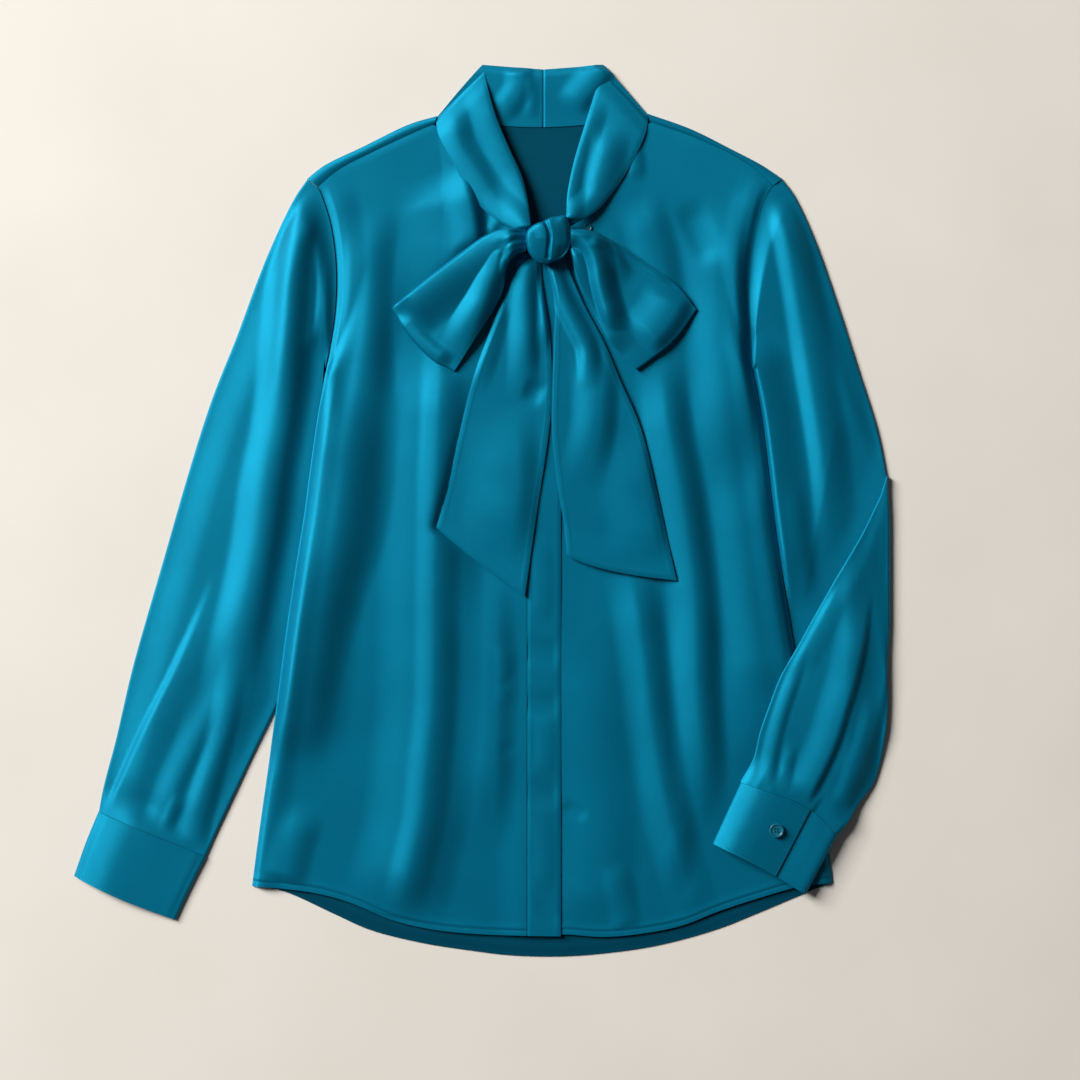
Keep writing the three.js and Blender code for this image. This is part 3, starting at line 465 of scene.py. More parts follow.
# Its upper side is the wrong side of the satin, duller; its colour is also painted darker, as painted shade for the
# shade the collar casts into the neck.
back.data.materials.append(shaded_satin_inside)
for face in back.data.polygons:
    face.material_index = 1 if face.normal.z > 0.3 else 0

# %% [markdown]
# The strip over each shoulder starts at the back's own top edge, turns round and comes forward to
# the seam. It is joined to the back, so the back stays one piece.

# %% Shoulder strips
STRIP_Z = FRONT_Z + 0.4
STRIP_STEPS = 33


def shoulder_strip(top, seam):
    """Rows of a strip: half a turn round the back's top edge, then forward to the seam."""
    s = np.linspace(0, 1, STRIP_STEPS)
    edge, end = top(s), seam(s)
    out = edge - end
    out /= np.maximum(np.linalg.norm(out, axis=1, keepdims=True), 1e-6)
    rise = (STRIP_Z - FLAT_Z) / 2
    rows = []
    for turn in np.radians(np.linspace(-90, 90, 7)):
        height = FLAT_Z + rise + rise * math.sin(turn)
        rows.append(np.c_[edge + out * rise * math.cos(turn), np.full(STRIP_STEPS, height)])
    for k in np.linspace(0, 1, 6)[1:]:
        height = STRIP_Z + 0.9 * math.sin(k * math.pi) - 0.4 * k
        rows.append(np.c_[edge + (end - edge) * k * 0.95, np.full(STRIP_STEPS, height)])
    return np.array(rows)[::-1]


strips = []
for name, top, seam in (
    ("strip_right", SHOULDER_TOP_RIGHT, SHOULDER_SEAM_RIGHT),
    ("strip_left", SHOULDER_TOP_LEFT, SHOULDER_SEAM_LEFT),
):
    points = shoulder_strip(top, seam)
    rows, columns = points.shape[:2]
    strip = new_piece(name, points, [
        (i * columns + j, (i + 1) * columns + j, (i + 1) * columns + j + 1, i * columns + j + 1)
        for i in range(rows - 1) for j in range(columns - 1)])
    thicken(strip, CLOTH)
    strip.data.materials.append(satin_teal)
    strips.append(strip)
only(back, *strips)
bpy.ops.object.join()
print("back with its shoulder strips:", len(back.data.polygons), "faces")


# %% [markdown]
# ## The fronts
# Each front hangs from the shoulder in long soft folds. Their places and sizes were read off the
# blouse one by one: a main fold left of the placket that rises slowly and drops fast, a long dark
# hollow running down to the side, and on the other front two folds side by side. At the side the
# cloth rolls over the edge, and the hem is turned up and stitched.

# %% Folds of the fronts
MAIN_RIDGE = [
    (-36, 150), (-38, 68), (-39.5, 26), (-40.5, -29), (-41.5, -76), (-41.5, -122), (-43, -169), (-48, -216),
    (-53, -263), (-64, -309), (-72, -345)]
CHEST_FOLD = [(-24, 293), (-15, 272), (-10, 251), (-8, 229), (-12, 200), (-18, 160)]
RIGHT_FOLDS = [
    (MAIN_RIDGE, 50, 42, 6.2, 0.1, 0.1, 0.14, 0.08),
    (MAIN_RIDGE, 17, 22, 3.4, 0.3, 0.2, 0.14, 0.08),
    ([(-110, 120), (-117, 60), (-119, 25), (-126, -17), (-141, -60), (-156, -110), (-168, -170), (-180, -240)],
     40, 44, 8.6, 0.1, 0, 0.2, 0.3),
    ([(6, -40), (10, -130), (8, -210), (4, -290)], 34, 24, 4.2, 0, 0, 0.35, 0.3),
    (CHEST_FOLD, 66, 12, 5.4, 0, 0.1, 0.25, 0.5),
    (CHEST_FOLD, 20, 8, 3.2, 0.2, 0.2, 0.25, 0.5),
    ([(-92, 262), (-98, 200), (-98, 130), (-94, 70)], 26, 22, 4.0, 0.2, 0, 0.3, 0.3),
    ([(4, 232), (10, 244), (20, 252)], 6, 5, 1.6),
    ([(20, -110), (24, -140), (22, -170)], 14, 9, 1.3),
    ([(-150, -250), (-162, -285), (-170, -316)], 20, 20, 3.2, 0, 0, 0.4, 0.1),
    ([(34, -132), (24, -144), (12, -150)], 6, 7, -0.7),
    ([(34, -196), (24, -202), (12, -206)], 6, 7, -0.6),
]
LEFT_FOLDS = [
    ([(150, 130), (157, 73), (170, 4), (180, -76), (182, -150), (186, -213), (186, -280)],
     26, 22, 7.4, 0.4, 0.1, 0.15, 0.25),
    ([(122, -40), (130, -80), (136, -119), (145, -190), (156, -251), (171, -306), (182, -346)],
     24, 22, 5.6, 0.5, 0.1, 0.2, 0.08),
    ([(196, 262), (207, 210), (214, 150), (214, 90), (210, 20)], 42, 26, 5.8, 0.1, 0, 0.25, 0.35),
    ([(220, 40), (230, -42), (238, -119), (238, -178), (232, -240)], 38, 30, 3.6, 0, 0, 0.2, 0.4),
    ([(92, -60), (98, -162), (100, -260), (98, -350)], 40, 34, 2.6, 0, 0, 0.35, 0.1),
    ([(172, 262), (186, 230), (196, 208)], 14, 16, -1.6),
    ([(132, 266), (146, 224), (156, 170)], 24, 20, 3.0),
    ([(122, 318), (128, 300), (130, 280)], 8, 9, 1.8),
    ([(68, -250), (78, -256), (88, -262)], 6, 7, -0.9),
    ([(110, -300), (118, -330), (122, -355)], 14, 14, 1.6, 0, 0, 0.3, 0.08),
]


def outside(outline, x, y):
    """How far points lie outside a closed outline, in millimetres; inside it the distance is negative."""
    corners = np.array(outline, float)
    distance, inside = np.full(x.shape, 1e9), np.zeros(x.shape, bool)
    for (ax, ay), (bx, by) in zip(corners, np.roll(corners, -1, axis=0)):
        dx, dy = bx - ax, by - ay
        share = np.clip(((x - ax) * dx + (y - ay) * dy) / (dx * dx + dy * dy), 0, 1)
        distance = np.minimum(distance, np.hypot(x - ax - share * dx, y - ay - share * dy))
        inside ^= ((ay > y) != (by > y)) & (x < (y - ay) * dx / (dy if dy else 1e-9) + ax)
    return np.where(inside, -distance, distance)


BOW_OUTLINE = [
    (34, 240), (-20, 219), (-77, 172), (-57, 145), (-26, 117), (-8, 112), (-22, 59), (-31, 18), (-40, -15),
    (-3, -46), (35, -74), (48, -30), (71, -39), (120, -54), (164, -60), (147, 16), (133, 71), (120, 108),
    (131, 118), (162, 147), (182, 171), (140, 209), (76, 240)]
UNDER_BOW, CLEAR_OF_BOW = 3.0, 30  # how high a fold may rise there, in millimetres
UNDER_FOREARM = 0.3  # the share of their height that folds keep there


def front_calm(x, y, rise):
    """Folds lie lower under the bow and under the folded-back forearm."""
    room = UNDER_BOW + CLEAR_OF_BOW * ease(-2, 16, outside(BOW_OUTLINE, x, y))
    off_forearm = np.maximum((262 - x) * 0.75 + (y + 190) * 0.5, y + 110)
    return room * np.tanh(rise / room) * (UNDER_FOREARM + (1 - UNDER_FOREARM) * ease(0, 30, off_forearm))


FRONT_ROW = 2.2  # about how far a front's rows lie apart
CENTRE_FADE, SIDE_ROLL = 26, 26  # how wide the calm strip at the centre and the roll at the side are
FRONT_HEM, HEM_STITCHES = 6.8, 4.6  # how far above its edge the hem ends and is stitched


def front(edges, side_last, lowest, rows, centre_z, roll):
    """A front panel: its side rolled over, its folds, and its turned-up hem."""
    flat = net(*edges, shares(84, 10, 0.045), shares(210, 8, 0.012))
    x, y = xy(flat)
    side, centre = (flat[:, -1:], flat[:, :1]) if side_last else (flat[:, :1], flat[:, -1:])
    side_y = side[..., 1]
    from_side, to_centre = np.abs(x - side[..., 0]), np.abs(x - centre[..., 0])
    from_top = np.minimum(np.arange(len(flat))[:, None] * FRONT_ROW, 99)
    inside = ease(0, 12, from_side) * ease(-14, 14, from_top)
    near_centre = 1 - ease(0, CENTRE_FADE, to_centre)
    rise = folds(rows, x, y) + ripple(x, y, 140, 0.45)
    carried = (1 - ease(30, 66, from_side)) * ease(-70 * ease(0, 30, from_side), 18, UNDERARM_Y - side_y)
    z = FRONT_Z + TUCK_LIFT * carried * ease(-40, 0, side_y - lowest) + BODY_HOLLOW * inside
    z = z + front_calm(x, y, rise) * inside * (1 - near_centre) + centre_z * near_centre
    z = z + roll * (ease(0, 6, from_side) - 0.9 * ease(7, SIDE_ROLL, from_side)) * ease(0, 30, 285 - y)
    z = z - 1.1 * (1 - ease(0, 3.5, from_side)) * ease(0, 30, 110 - y)
    from_hem = y - flat[-1:, :, 1]
    z = z + HEM_RIDGE * np.exp(-((from_hem - FRONT_HEM) / 1.6) ** 2)
    z = z - 0.3 * np.exp(-((from_hem - HEM_STITCHES) / 0.9) ** 2)
    return np.dstack([flat, z])


# %% Both fronts
right_edges = (
    joined(SHOULDER_SEAM_RIGHT, NECK_FRONT_RIGHT, 0.5),
    joined(part_of(ARMHOLE_RIGHT, 0.055, 1), SIDE_RIGHT, ARMHOLE_SHARE),
    line([(34, 233), (35.6, 120), (36.6, 0), (36.6, -362)]),
    HEM_RIGHT,
)
left_edges = (
    joined(NECK_FRONT_LEFT, SHOULDER_SEAM_LEFT, 0.5),
    line([(40, 233), (40, 60), (40, -362)]),
    joined(part_of(ARMHOLE_LEFT, 0.055, 1), SIDE_LEFT, ARMHOLE_SHARE),
    HEM_LEFT,
)
for node, edges, side_last, lowest, rows, centre_z, roll in (
    ("front_right", right_edges, False, LOWEST_TUCK_RIGHT, RIGHT_FOLDS, 1.2, 2.2),
    ("front_left", left_edges, True, LOWEST_TUCK_LEFT, LEFT_FOLDS, 0, 2.0),
):
    cloth(node, front(edges, side_last, lowest, rows, centre_z, roll))

# %% [markdown]
# ## The placket
# The fly hides the buttons. It is a doubled strip down the front edge with a row of stitches on its
# left, and it dips a little over each hidden buttonhole.

# %% Placket
PLACKET_Z = FRONT_TOP + LAYER + DOUBLE_WALL / 2
FLY_LEFT, FLY_RIGHT = 37.1, 65.5
STIFF_WALL = 1.1  # doubled and interfaced: placket, cuffs and collar
placket_flat = net(
    line([(FLY_LEFT, 233), (FLY_RIGHT, 233)]), line([(FLY_LEFT, 233), (FLY_LEFT, -362)]),
    line([(FLY_RIGHT, 233), (FLY_RIGHT, -362.4)]), line([(FLY_LEFT, -362), (FLY_RIGHT, -362.4)]),
    shares(16, 6, 0.12), np.linspace(0, 1, 240),
)
PLACKET_DIPS = [
    ([(28, -118), (52, -122), (76, -124)], 16, 16, -0.8, 0, 0, 0, 0),
    ([(28, -163), (52, -166), (76, -166)], 15, 15, -0.8, 0, 0, 0, 0),
    ([(28, -238), (52, -242), (76, -241)], 15, 15, -0.7, 0, 0, 0, 0),
    ([(46, -330), (56, -345), (76, -352)], 8, 8, -0.5),
    ([(46, -20), (50, -60), (47, -100)], 10, 11, 0.6),
    ([(50, -170), (53, -200), (49, -232)], 10, 10, 0.6),
    ([(46, -250), (52, -290), (48, -330)], 11, 11, 0.6),
]
x, y = xy(placket_flat)
from_edge = np.minimum(x - FLY_LEFT, FLY_RIGHT - x)
placket_z = PLACKET_Z + folds(PLACKET_DIPS, x, y) * ease(0, 7, FLY_RIGHT - x) + 0.4 * ease(0, 3, from_edge) - 0.5
placket_z = placket_z + ripple(x, y, 90, 0.12, 1.2)
cloth("placket", np.dstack([placket_flat, placket_z]), wall=STIFF_WALL)


# %% [markdown]
# ## Sleeves
# A sleeve is a tube pressed flat: one wall lies on the floor and the other on top of it, with a
# fold down each side. The ring of points runs along the lower wall, round one fold and back over
# the upper wall, and only the upper wall has folds and pleats. The underarm side is tucked below
# the body. On the photo's right the sleeve turns over at the elbow and comes back over itself.

# %% Pressed tube
FOLD_STEPS = [-60, -25, 0, 25, 60]  # degrees round the fold at each side of a tube


def pressed(flat, lower_z, upper_z, turned=False):
    """Rings round a pressed tube, from its flat points and the heights of its two walls."""
    outward = flat[:, :1] - flat[:, -1:]
    outward = outward / np.linalg.norm(outward, axis=-1, keepdims=True)
    lower, upper = np.dstack([flat, lower_z]), np.dstack([flat, upper_z])
    if turned:
        lower, upper = upper, lower

    def fold(column, sign):
        a, b = lower[:, column], upper[:, column]
        middle, half = (a + b) / 2, (b - a)[:, 2:] / 2
        return [np.c_[
            middle[:, :2] - sign * outward[:, 0] * np.abs(half) * math.cos(t),
            middle[:, 2] + half[:, 0] * math.sin(t * sign)] for t in np.radians(FOLD_STEPS) * sign]

    far, near = fold(-1, 1), fold(0, -1)
    ring = [lower[:, j] for j in range(lower.shape[1])] + far
    ring += [upper[:, j] for j in range(upper.shape[1] - 1, -1, -1)] + near[::-1]
    return np.stack(ring, axis=1)


def beside(edge, flat, sign):
    """How far points lie outside the body's side; the sign is that of its outward direction."""
    path = edge(np.linspace(0, 1, 200))
    order = np.argsort(path[:, 1])
    x_there = np.interp(flat[..., 1], path[order, 1], path[order, 0])
    out, above = (flat[..., 0] - x_there) * sign, flat[..., 1] - path[:, 1].max()
    return np.where(above > 0, np.hypot(np.maximum(out, 0), above), out)


def from_start(flat, column):
    return np.linalg.norm(flat - flat[:, column][:, None], axis=-1)


def row_steps(flat):
    """How far each row lies from the first and from the last one, in millimetres."""
    step = np.linalg.norm(np.diff(flat, axis=0), axis=-1).mean(axis=1)
    down = np.r_[0, np.cumsum(step)][:, None]
    return down, down[-1] - down


# %% Where sleeves and cuffs meet
SLEEVE_ACROSS = shares(54, 5, 0.05)
ARMHOLE_END = 0.955  # the sleeve's seam ends this share down the armhole
FOREARM_REST = 8  # how high the folded-back forearm and its cuff lie, on the front
CUFF_SECTION = [  # from the overlap's edge round below to the under end: share of the width, height
    (0.665, 4.7), (0.45, 6.6), (0.28, 7.6), (0.16, 7.0), (0.04, 3.8), (0, 2.0), (0.03, 0.8), (0.2, 0), (0.5, 0),
    (0.8, 0), (0.97, 0.2), (1, 1.4), (0.97, 2.7), (0.85, 3.1), (0.7, 3.1), (0.5, 3.1)]
CUFF_LEFT_Z = FOREARM_REST + DOUBLE_WALL / 2


def cuff_right_top(share):
    """The height of the right cuff's upper wall, from its outer fold to its inner one."""
    return DOUBLE_WALL / 2 + 1.9 + 6.6 * ease(-0.08, 0.36, share) * (1 - 0.92 * ease(0.26, 1.05, share))


def cuff_left_top(share):
    """The height of the left cuff's uppermost layer."""
    over = sorted(CUFF_SECTION[:6]) + [(0.69, 3.3), (0.97, 2.7), (1, 1.4)]
    return CUFF_LEFT_Z + np.interp(share, [p[0] for p in over], [p[1] for p in over])


def up_to(cuff_top, height, up):
    """Brings a sleeve's upper wall to its cuff's height over the last stretch, just below it."""
    share = np.linspace(0, 1, height.shape[1])[None]
    near = 1 - ease(0, 24, up)
    return height * (1 - near) + (cuff_top(share) - 0.35) * near


print("cuff tops, highest:", round(float(cuff_right_top(np.linspace(0, 1, 50)).max()), 1), "and",
      round(float(cuff_left_top(np.linspace(0, 1, 50)).max()), 1), "mm")


# %% Right sleeve
SLEEVE_RIGHT_FOLDS = [
    ([(-150, 268), (-161, 212), (-166, 153), (-174, 76), (-184, 25), (-191, -25), (-201, -76), (-214, -128),
      (-223, -175), (-231, -215)], 24, 26, 5.6, 0.1, 0, 0.08, 0.35),
    ([(-152, 262), (-162, 212), (-166, 160), (-172, 110), (-180, 60)], 13, 16, 3.0, 0.2, 0.1, 0.15, 0.5),
    ([(-226, -50), (-234, -75), (-262, -138), (-287, -188), (-310, -238), (-319, -258)],
     4.8, 34, 2.8, 0.1, 0.1, 0.45, 0),
    ([(-232, -150), (-244, -190), (-262, -230), (-276, -268)], 16, 12, 1.8, 0.1, 0, 0.4, 0.02),
    ([(-208, -120), (-220, -180), (-236, -240), (-248, -285)], 14, 12, 2.0, 0.1, 0, 0.35, 0.02),
    ([(-256, -240), (-264, -256), (-271, -274)], 7, 7, 1.0, 0.2, 0.1, 0.4, 0.0),
    ([(-138, 240), (-136, 190), (-140, 140)], 6, 8, 1.4, 0.1, 0, 0.3, 0.3),
]
flat = net(
    moved(part_of(ARMHOLE_RIGHT, 0, ARMHOLE_END), -0.6, -0.3),
    line([(-149.6, 280.7), (-160, 265), (-182, 219), (-208, 150), (-230, 94), (-252, 25), (-271, -42), (-295, -125),
          (-312, -196), (-322, -235), (-326, -257)]),
    line([(-132.6, 132.2), (-135.4, 118), (-137.4, 108), (-136.5, 99), (-131, 80), (-125, 50), (-127, 8),
          (-133, -34), (-150, -102), (-179, -170), (-195, -203), (-217, -249), (-238, -294)]),
    line([(-326, -257), (-238, -294)]), SLEEVE_ACROSS, shares(180, 5, 0.012),
)
body_side = beside(SIDE_RIGHT, flat, -1)
down, up = row_steps(flat)
outer, inner = from_start(flat, 0), from_start(flat, -1)
full = 2.4 * ease(0, 30, outer) * ease(2, 26, np.minimum(body_side, inner) - 3)
rise = folds(SLEEVE_RIGHT_FOLDS, *xy(flat)) * ease(4, 24, body_side) * ease(0, 11, outer)
rise = rise + ripple(*xy(flat), 90, 0.3, 0.3) * ease(4, 24, body_side)
upper_z = FLAT_Z + TUBE_RISE + (full * ease(0, 40, up) + rise) * ease(0, 26, down)
upper_z = up_to(cuff_right_top, upper_z, up)
cloth(
    "sleeve_right", pressed(flat, np.full(upper_z.shape, FLAT_Z), upper_z), around=True)

# %% [markdown]
# The other sleeve is one tube with three stretches: down to the elbow, round the fold there, and
# back over itself with its other face up. Round the fold every point turns about the same axis.

# %% Left sleeve
SLEEVE_LEFT_FOLDS = [
    ([(252, 262), (260.5, 218), (268, 174), (275, 130), (281, 93), (289, 42), (292, 12), (296, -45)],
     13, 24, 4.6, 0.3, 0, 0.1, 0.35),
    ([(300, 220), (318, 150), (330, 90)], 14, 12, 1.4, 0, 0, 0.3, 0.3),
    ([(262, 30), (266, -30), (272, -80)], 12, 14, 1.2, 0, 0, 0.3, 0.3),
]
FOREARM_FOLDS = [
    ([(326, -70), (321, -110), (313, -146), (305, -172), (298, -195), (286, -222), (272, -248)],
     24, 5, 3.8, 0.1, 0.4, 0.3, 0),
    ([(272, -110), (264, -140), (254, -170), (247, -196), (240, -232)], 9, 6, 1.7, 0.2, 0.2, 0.4, 0),
    ([(300, -60), (280, -104), (262, -140)], 14, 16, 1.4),
    ([(334, -150), (324, -200), (304, -252)], 12, 10, 1.6, 0.1, 0, 0.4, 0.1),
    ([(262, -195), (257, -220), (252, -242)], 6, 6, 1.2, 0.1, 0.1, 0.4, 0.0),
]
ELBOW_X, ELBOW_HIGH, ELBOW_LOW = 346, 28, -134
FOLD_AIR = 0.25
FOLD_RADIUS = TUBE_THICK + FOLD_AIR
FOLD_X = ELBOW_X - FOLD_RADIUS
ELBOW = line([(FOLD_X, ELBOW_HIGH), (FOLD_X, ELBOW_LOW)])
CUFF_SEAM_LEFT = line([(219, -231), (274, -252), (300, -275)])
FOREARM_EDGE = [
    (338, 12), (323, -19), (297, -63), (265, -120), (253, -141), (243, -167), (235, -190), (230, -211), (219, -231)]
flat = net(
    moved(part_of(ARMHOLE_LEFT, 0, ARMHOLE_END), 0.6, -0.3),
    line([(253.5, 280.7), (263, 268), (280, 232), (300, 176), (319, 117), (335, 66), (FOLD_X, ELBOW_HIGH)]),
    line([(228.5, 122.5), (230.4, 113), (231.6, 105), (230.5, 97), (226, 78), (222, 50), (226, 8), (236, -42), (246, -84),
          (260, -120), (290, -138), (FOLD_X, ELBOW_LOW)]),
    ELBOW, SLEEVE_ACROSS, shares(130, 5, 0.012),
)
body_side = beside(SIDE_LEFT, flat, 1)
edge_points = line([(ELBOW_X, ELBOW_HIGH)] + FOREARM_EDGE[1:])(np.linspace(0, 1, 60))
covered = np.linalg.norm(flat[..., None, :] - edge_points, axis=-1).min(-1)
x, y = xy(flat)
slope = (ELBOW_X - x) * 0.88 - (ELBOW_HIGH - y) * 0.48  # above 0 where the forearm doesn't lie on it
clear = np.minimum(body_side, np.where(slope > 0, covered, 0))
down, up = row_steps(flat)
outer, inner = from_start(flat, 0), from_start(flat, -1)
full = 3 * ease(0, 26, outer) * ease(0, 26, inner)
rise = (folds(SLEEVE_LEFT_FOLDS, x, y) + ripple(x, y, 90, 0.3)) * ease(0, 11, outer)
beside_body = 6.5 * ease(0, 5, body_side) * (1 - ease(4, 36, body_side)) * ease(0, 40, down) * ease(-90, -30, y)
puffed = (full * ease(8, 70, clear) + rise * ease(5, 24, clear)) * ease(0, 26, down) * ease(0, 26, up)
upper_z = FLAT_Z + TUBE_RISE + puffed + beside_body
first = pressed(flat, np.full(upper_z.shape, FLAT_Z), upper_z)

ring = pressed(flat[-1:], np.zeros((1, flat.shape[1])), np.full((1, flat.shape[1]), TUBE_RISE))[0]
turn_rows = []
to_ends = np.minimum(ELBOW_HIGH - ring[:, 1], ring[:, 1] - ELBOW_LOW)
for turn in np.radians(np.linspace(-76, 76, 11)):
    radius = FOLD_RADIUS - FLAT_Z - ring[:, 2]
    bulge = radius * math.cos(turn) * (0.15 + 0.85 * ease(0, 40, to_ends))
    turn_rows.append(np.c_[FOLD_X + bulge, ring[:, 1], FOLD_RADIUS + radius * math.sin(turn)])

FOREARM_SAG = 3.2  # the forearm's middle stretch sinks, where it lies beside the body and not on it
flat = net(
    ELBOW,
    joined(line([(FOLD_X, ELBOW_HIGH), FOREARM_EDGE[0]]), line(FOREARM_EDGE), 0.06),
    line([(FOLD_X, ELBOW_LOW), (343, -169), (340, -196), (332, -230), (318, -249), (309, -264), (300, -275)]),
    CUFF_SEAM_LEFT, SLEEVE_ACROSS, shares(110, 5, 0.02),
)
down, up = row_steps(flat)
x, y = xy(flat)
under = FOLD_RADIUS + FOLD_AIR + (FOREARM_REST - FOLD_RADIUS - FOLD_AIR) * ease(0, 34, 340 - x) + FLAT_Z
outer, inner = from_start(flat, 0), from_start(flat, -1)
under = under - FOREARM_SAG * ease(60, 130, down) * ease(4, 46, up) * (1 - ease(0, 34, inner))
full = 1.3 * ease(0, 24, outer) * ease(0, 20, inner)
rise = folds(FOREARM_FOLDS, x, y) * ease(0, 7, outer) * ease(0, 7, inner)
rise = rise + ripple(x, y, 80, 0.25, 0.9)
top_z = up_to(cuff_left_top, under + TUBE_RISE + (full + rise) * ease(0, 40, down), up)
second = pressed(flat, under, top_z, turned=True)
cloth(
    "sleeve_left", np.concatenate([first, np.array(turn_rows), second]), around=True)

# %% [markdown]
# ## Cuffs
# A cuff is a doubled band, stiffer than the sleeve, so it lies flat and keeps its corners. The
# photo-left one is closed all round. The other one is wound: it starts at the overlap with the
# button, goes round below and ends under the overlap.

# %% Cuffs
flat = net(
    line([(-326, -257.2), (-238, -294.2)]), line([(-326, -257.2), (-337, -284), (-347, -312)]),
    line([(-238, -294.2), (-252, -322), (-264, -348)]), line([(-347, -312), (-305, -332), (-264, -348)]),
    shares(26, 5, 0.06), shares(22, 4, 0.06),
)
column = np.linspace(0, 1, flat.shape[1])[None] + 0 * flat[..., 0]
upper_z = cuff_right_top(column) + ripple(*xy(flat), 70, 0.15)
cloth(
    "cuff_right", pressed(flat, np.full(upper_z.shape, DOUBLE_WALL / 2), upper_z), around=True,
    wall=STIFF_WALL)

CUFF_WIDTH = 92
section = line([(share * CUFF_WIDTH, z) for share, z in CUFF_SECTION])(np.linspace(0, 1, 130))
across, lift = section[:, 0] / CUFF_WIDTH, section[:, 1]
cuff_top = moved(CUFF_SEAM_LEFT, -0.1, -0.2)
start, end = cuff_top(0.0), cuff_top(1.0)
flat = net(
    cuff_top, line([start, (195, -283)]), line([end, (273, -326)]),
    line([(195, -283), (235, -303), (273, -326)]), np.clip(across, 0, 1), shares(24, 4, 0.06),
)
z = CUFF_LEFT_Z + lift[None] + ripple(*xy(flat), 60, 0.12)
cloth("cuff_left", np.dstack([flat, z]), wall=STIFF_WALL)

# %% [markdown]
# ## Collar
# The collar is a long doubled band. At the back it stands flat above the neck, in two halves with a
# seam between them. Over each shoulder it turns down and runs to the knot, where it is drawn
# together, so its folds gather towards the lower end.

# %% Collar at the back
CENTRE = 51
COLLAR_BACK_FOLDS = [
    ([(30, 376), (31, 362), (22, 346), (10, 336)], 14, 12, 2.0, 0, 0, 0.1, 0.3),
    ([(104, 376), (94, 362), (84, 350), (76, 338)], 20, 10, 3.0, 0, 0, 0.1, 0.3),
    ([(44, 372), (43, 350), (41, 332)], 8, 6, 1.0),
]
for node, corner_rows in (
    ("collar_back_right", [[(-1, 379), (24, 377), (CENTRE - 0.2, 375)], [(-1, 379), (-21, 357), (-40, 334.6)],
                           [(CENTRE - 0.05, 375), (CENTRE - 0.05, 326)], (0, 0.499)]),
    ("collar_back_left", [[(CENTRE + 0.2, 375), (78, 377), (102, 379)], [(CENTRE + 0.05, 375), (CENTRE + 0.05, 326)],
                          [(102, 379), (120, 359), (140, 336.6)], (0.501, 1)]),
):
    flat = net(
        line(corner_rows[0]), line(corner_rows[1]), line(corner_rows[2]),
        moved(part_of(NECK_BACK, *corner_rows[3]), 0, 0), shares(40, 5, 0.03), shares(24, 5, 0.05),
    )
    from_seam = np.abs(flat[..., 0] - CENTRE)
    from_top = flat[:1, :, 1] - flat[..., 1]
    z = 0.9 + 1.6 * ease(0, 6, from_top) * ease(0, 40, from_top[-1:] - from_top)
    z = z + 0.45 * ease(0, 1.6, from_seam) + folds(COLLAR_BACK_FOLDS, flat[..., 0], flat[..., 1]) * ease(0, 12, from_seam)
    cloth(node, np.dstack([flat, z]), wall=1.1)

# %% Ties over the shoulders
TIE_Z = FRONT_Z + WALL / 2 + LAYER + DOUBLE_WALL / 2
TIE_RIGHT_FOLDS = [
    ([(-28, 344), (-24, 326), (-19.5, 308), (-5, 286), (8, 267), (20, 254), (33, 241), (36, 237)], 19, 14, 3.2, 0.1, 0.3,
     0.2, 0.0),
    ([(1, 366), (9, 338), (18, 315), (28, 288), (34.5, 266), (38, 250), (40, 241)], 22, 7, 3.6, 0.2, 0.2, 0.25, 0.0),
]
TIE_LEFT_FOLDS = [
    ([(106, 330), (104.5, 314), (102.4, 300), (99.9, 289), (97.8, 279), (96.2, 269), (90.5, 260), (82.5, 252),
      (72.4, 243.6)], 14, 20, 3.6, 0.1, 0.1, 0.3, 0.0),
    ([(95, 356), (87, 326), (78.6, 301), (72, 269), (70.5, 247)], 3, 15, 3.2, 0.2, 0.1, 0.3, 0.0),
]
for node, top, left, right, bottom, rows in (
    ("collar_front_right", [(-40, 334), (-21, 356), (-1, 378)],
     [(-40, 334), (-39, 322), (-24, 292), (-11, 268), (9, 248), (35, 233)],
     [(-1, 378), (9, 338), (22, 306), (32, 284), (37, 264), (39, 250), (40, 241)], [(35, 233), (40, 241)], TIE_RIGHT_FOLDS),
    ("collar_front_left", [(102, 378), (120, 358), (140, 335)],
     [(102, 378), (96, 359), (87, 329), (77, 296), (71.5, 268), (70.5, 247)],
     [(140, 335), (138, 322), (132, 307), (120, 285), (108, 268), (96, 254), (73.5, 240)],
     [(70.5, 247), (73.5, 240)], TIE_LEFT_FOLDS),
):
    flat = net(line(top), line(left), line(right), line(bottom), shares(40, 6, 0.06), np.linspace(0, 1, 90))
    v = np.linspace(0, 1, 90)[:, None]
    u = np.linspace(0, 1, flat.shape[1])[None] + 0 * v
    roll = 0.75 + 2.4 * ease(0, 0.05, v) + (TIE_Z + 0.6 - 3.15) * ease(0.02, 0.16, v)
    crown = 4 * u * (1 - u) * (1.0 + 0.8 * np.sin(v * math.pi))
    z = roll + crown * ease(0, 0.2, v) + folds(rows, flat[..., 0], flat[..., 1]) + 5 * ease(0.6, 1, v)
    cloth(node, np.dstack([flat, z]), wall=1.1)

# %% [markdown]
# ## The bow
# Each loop leaves the knot in gathers, spreads, turns at its far edge and comes back under itself.
# So its net has two layers with a hairpin between them, and the sharp folds are on the upper one.
# The two tails hang from under the knot and end in a slanted edge, with the seam's ridge inside.

# %% Loops
LOOP_Z = FRONT_TOP + LAYER + 0.9 + WALL / 2


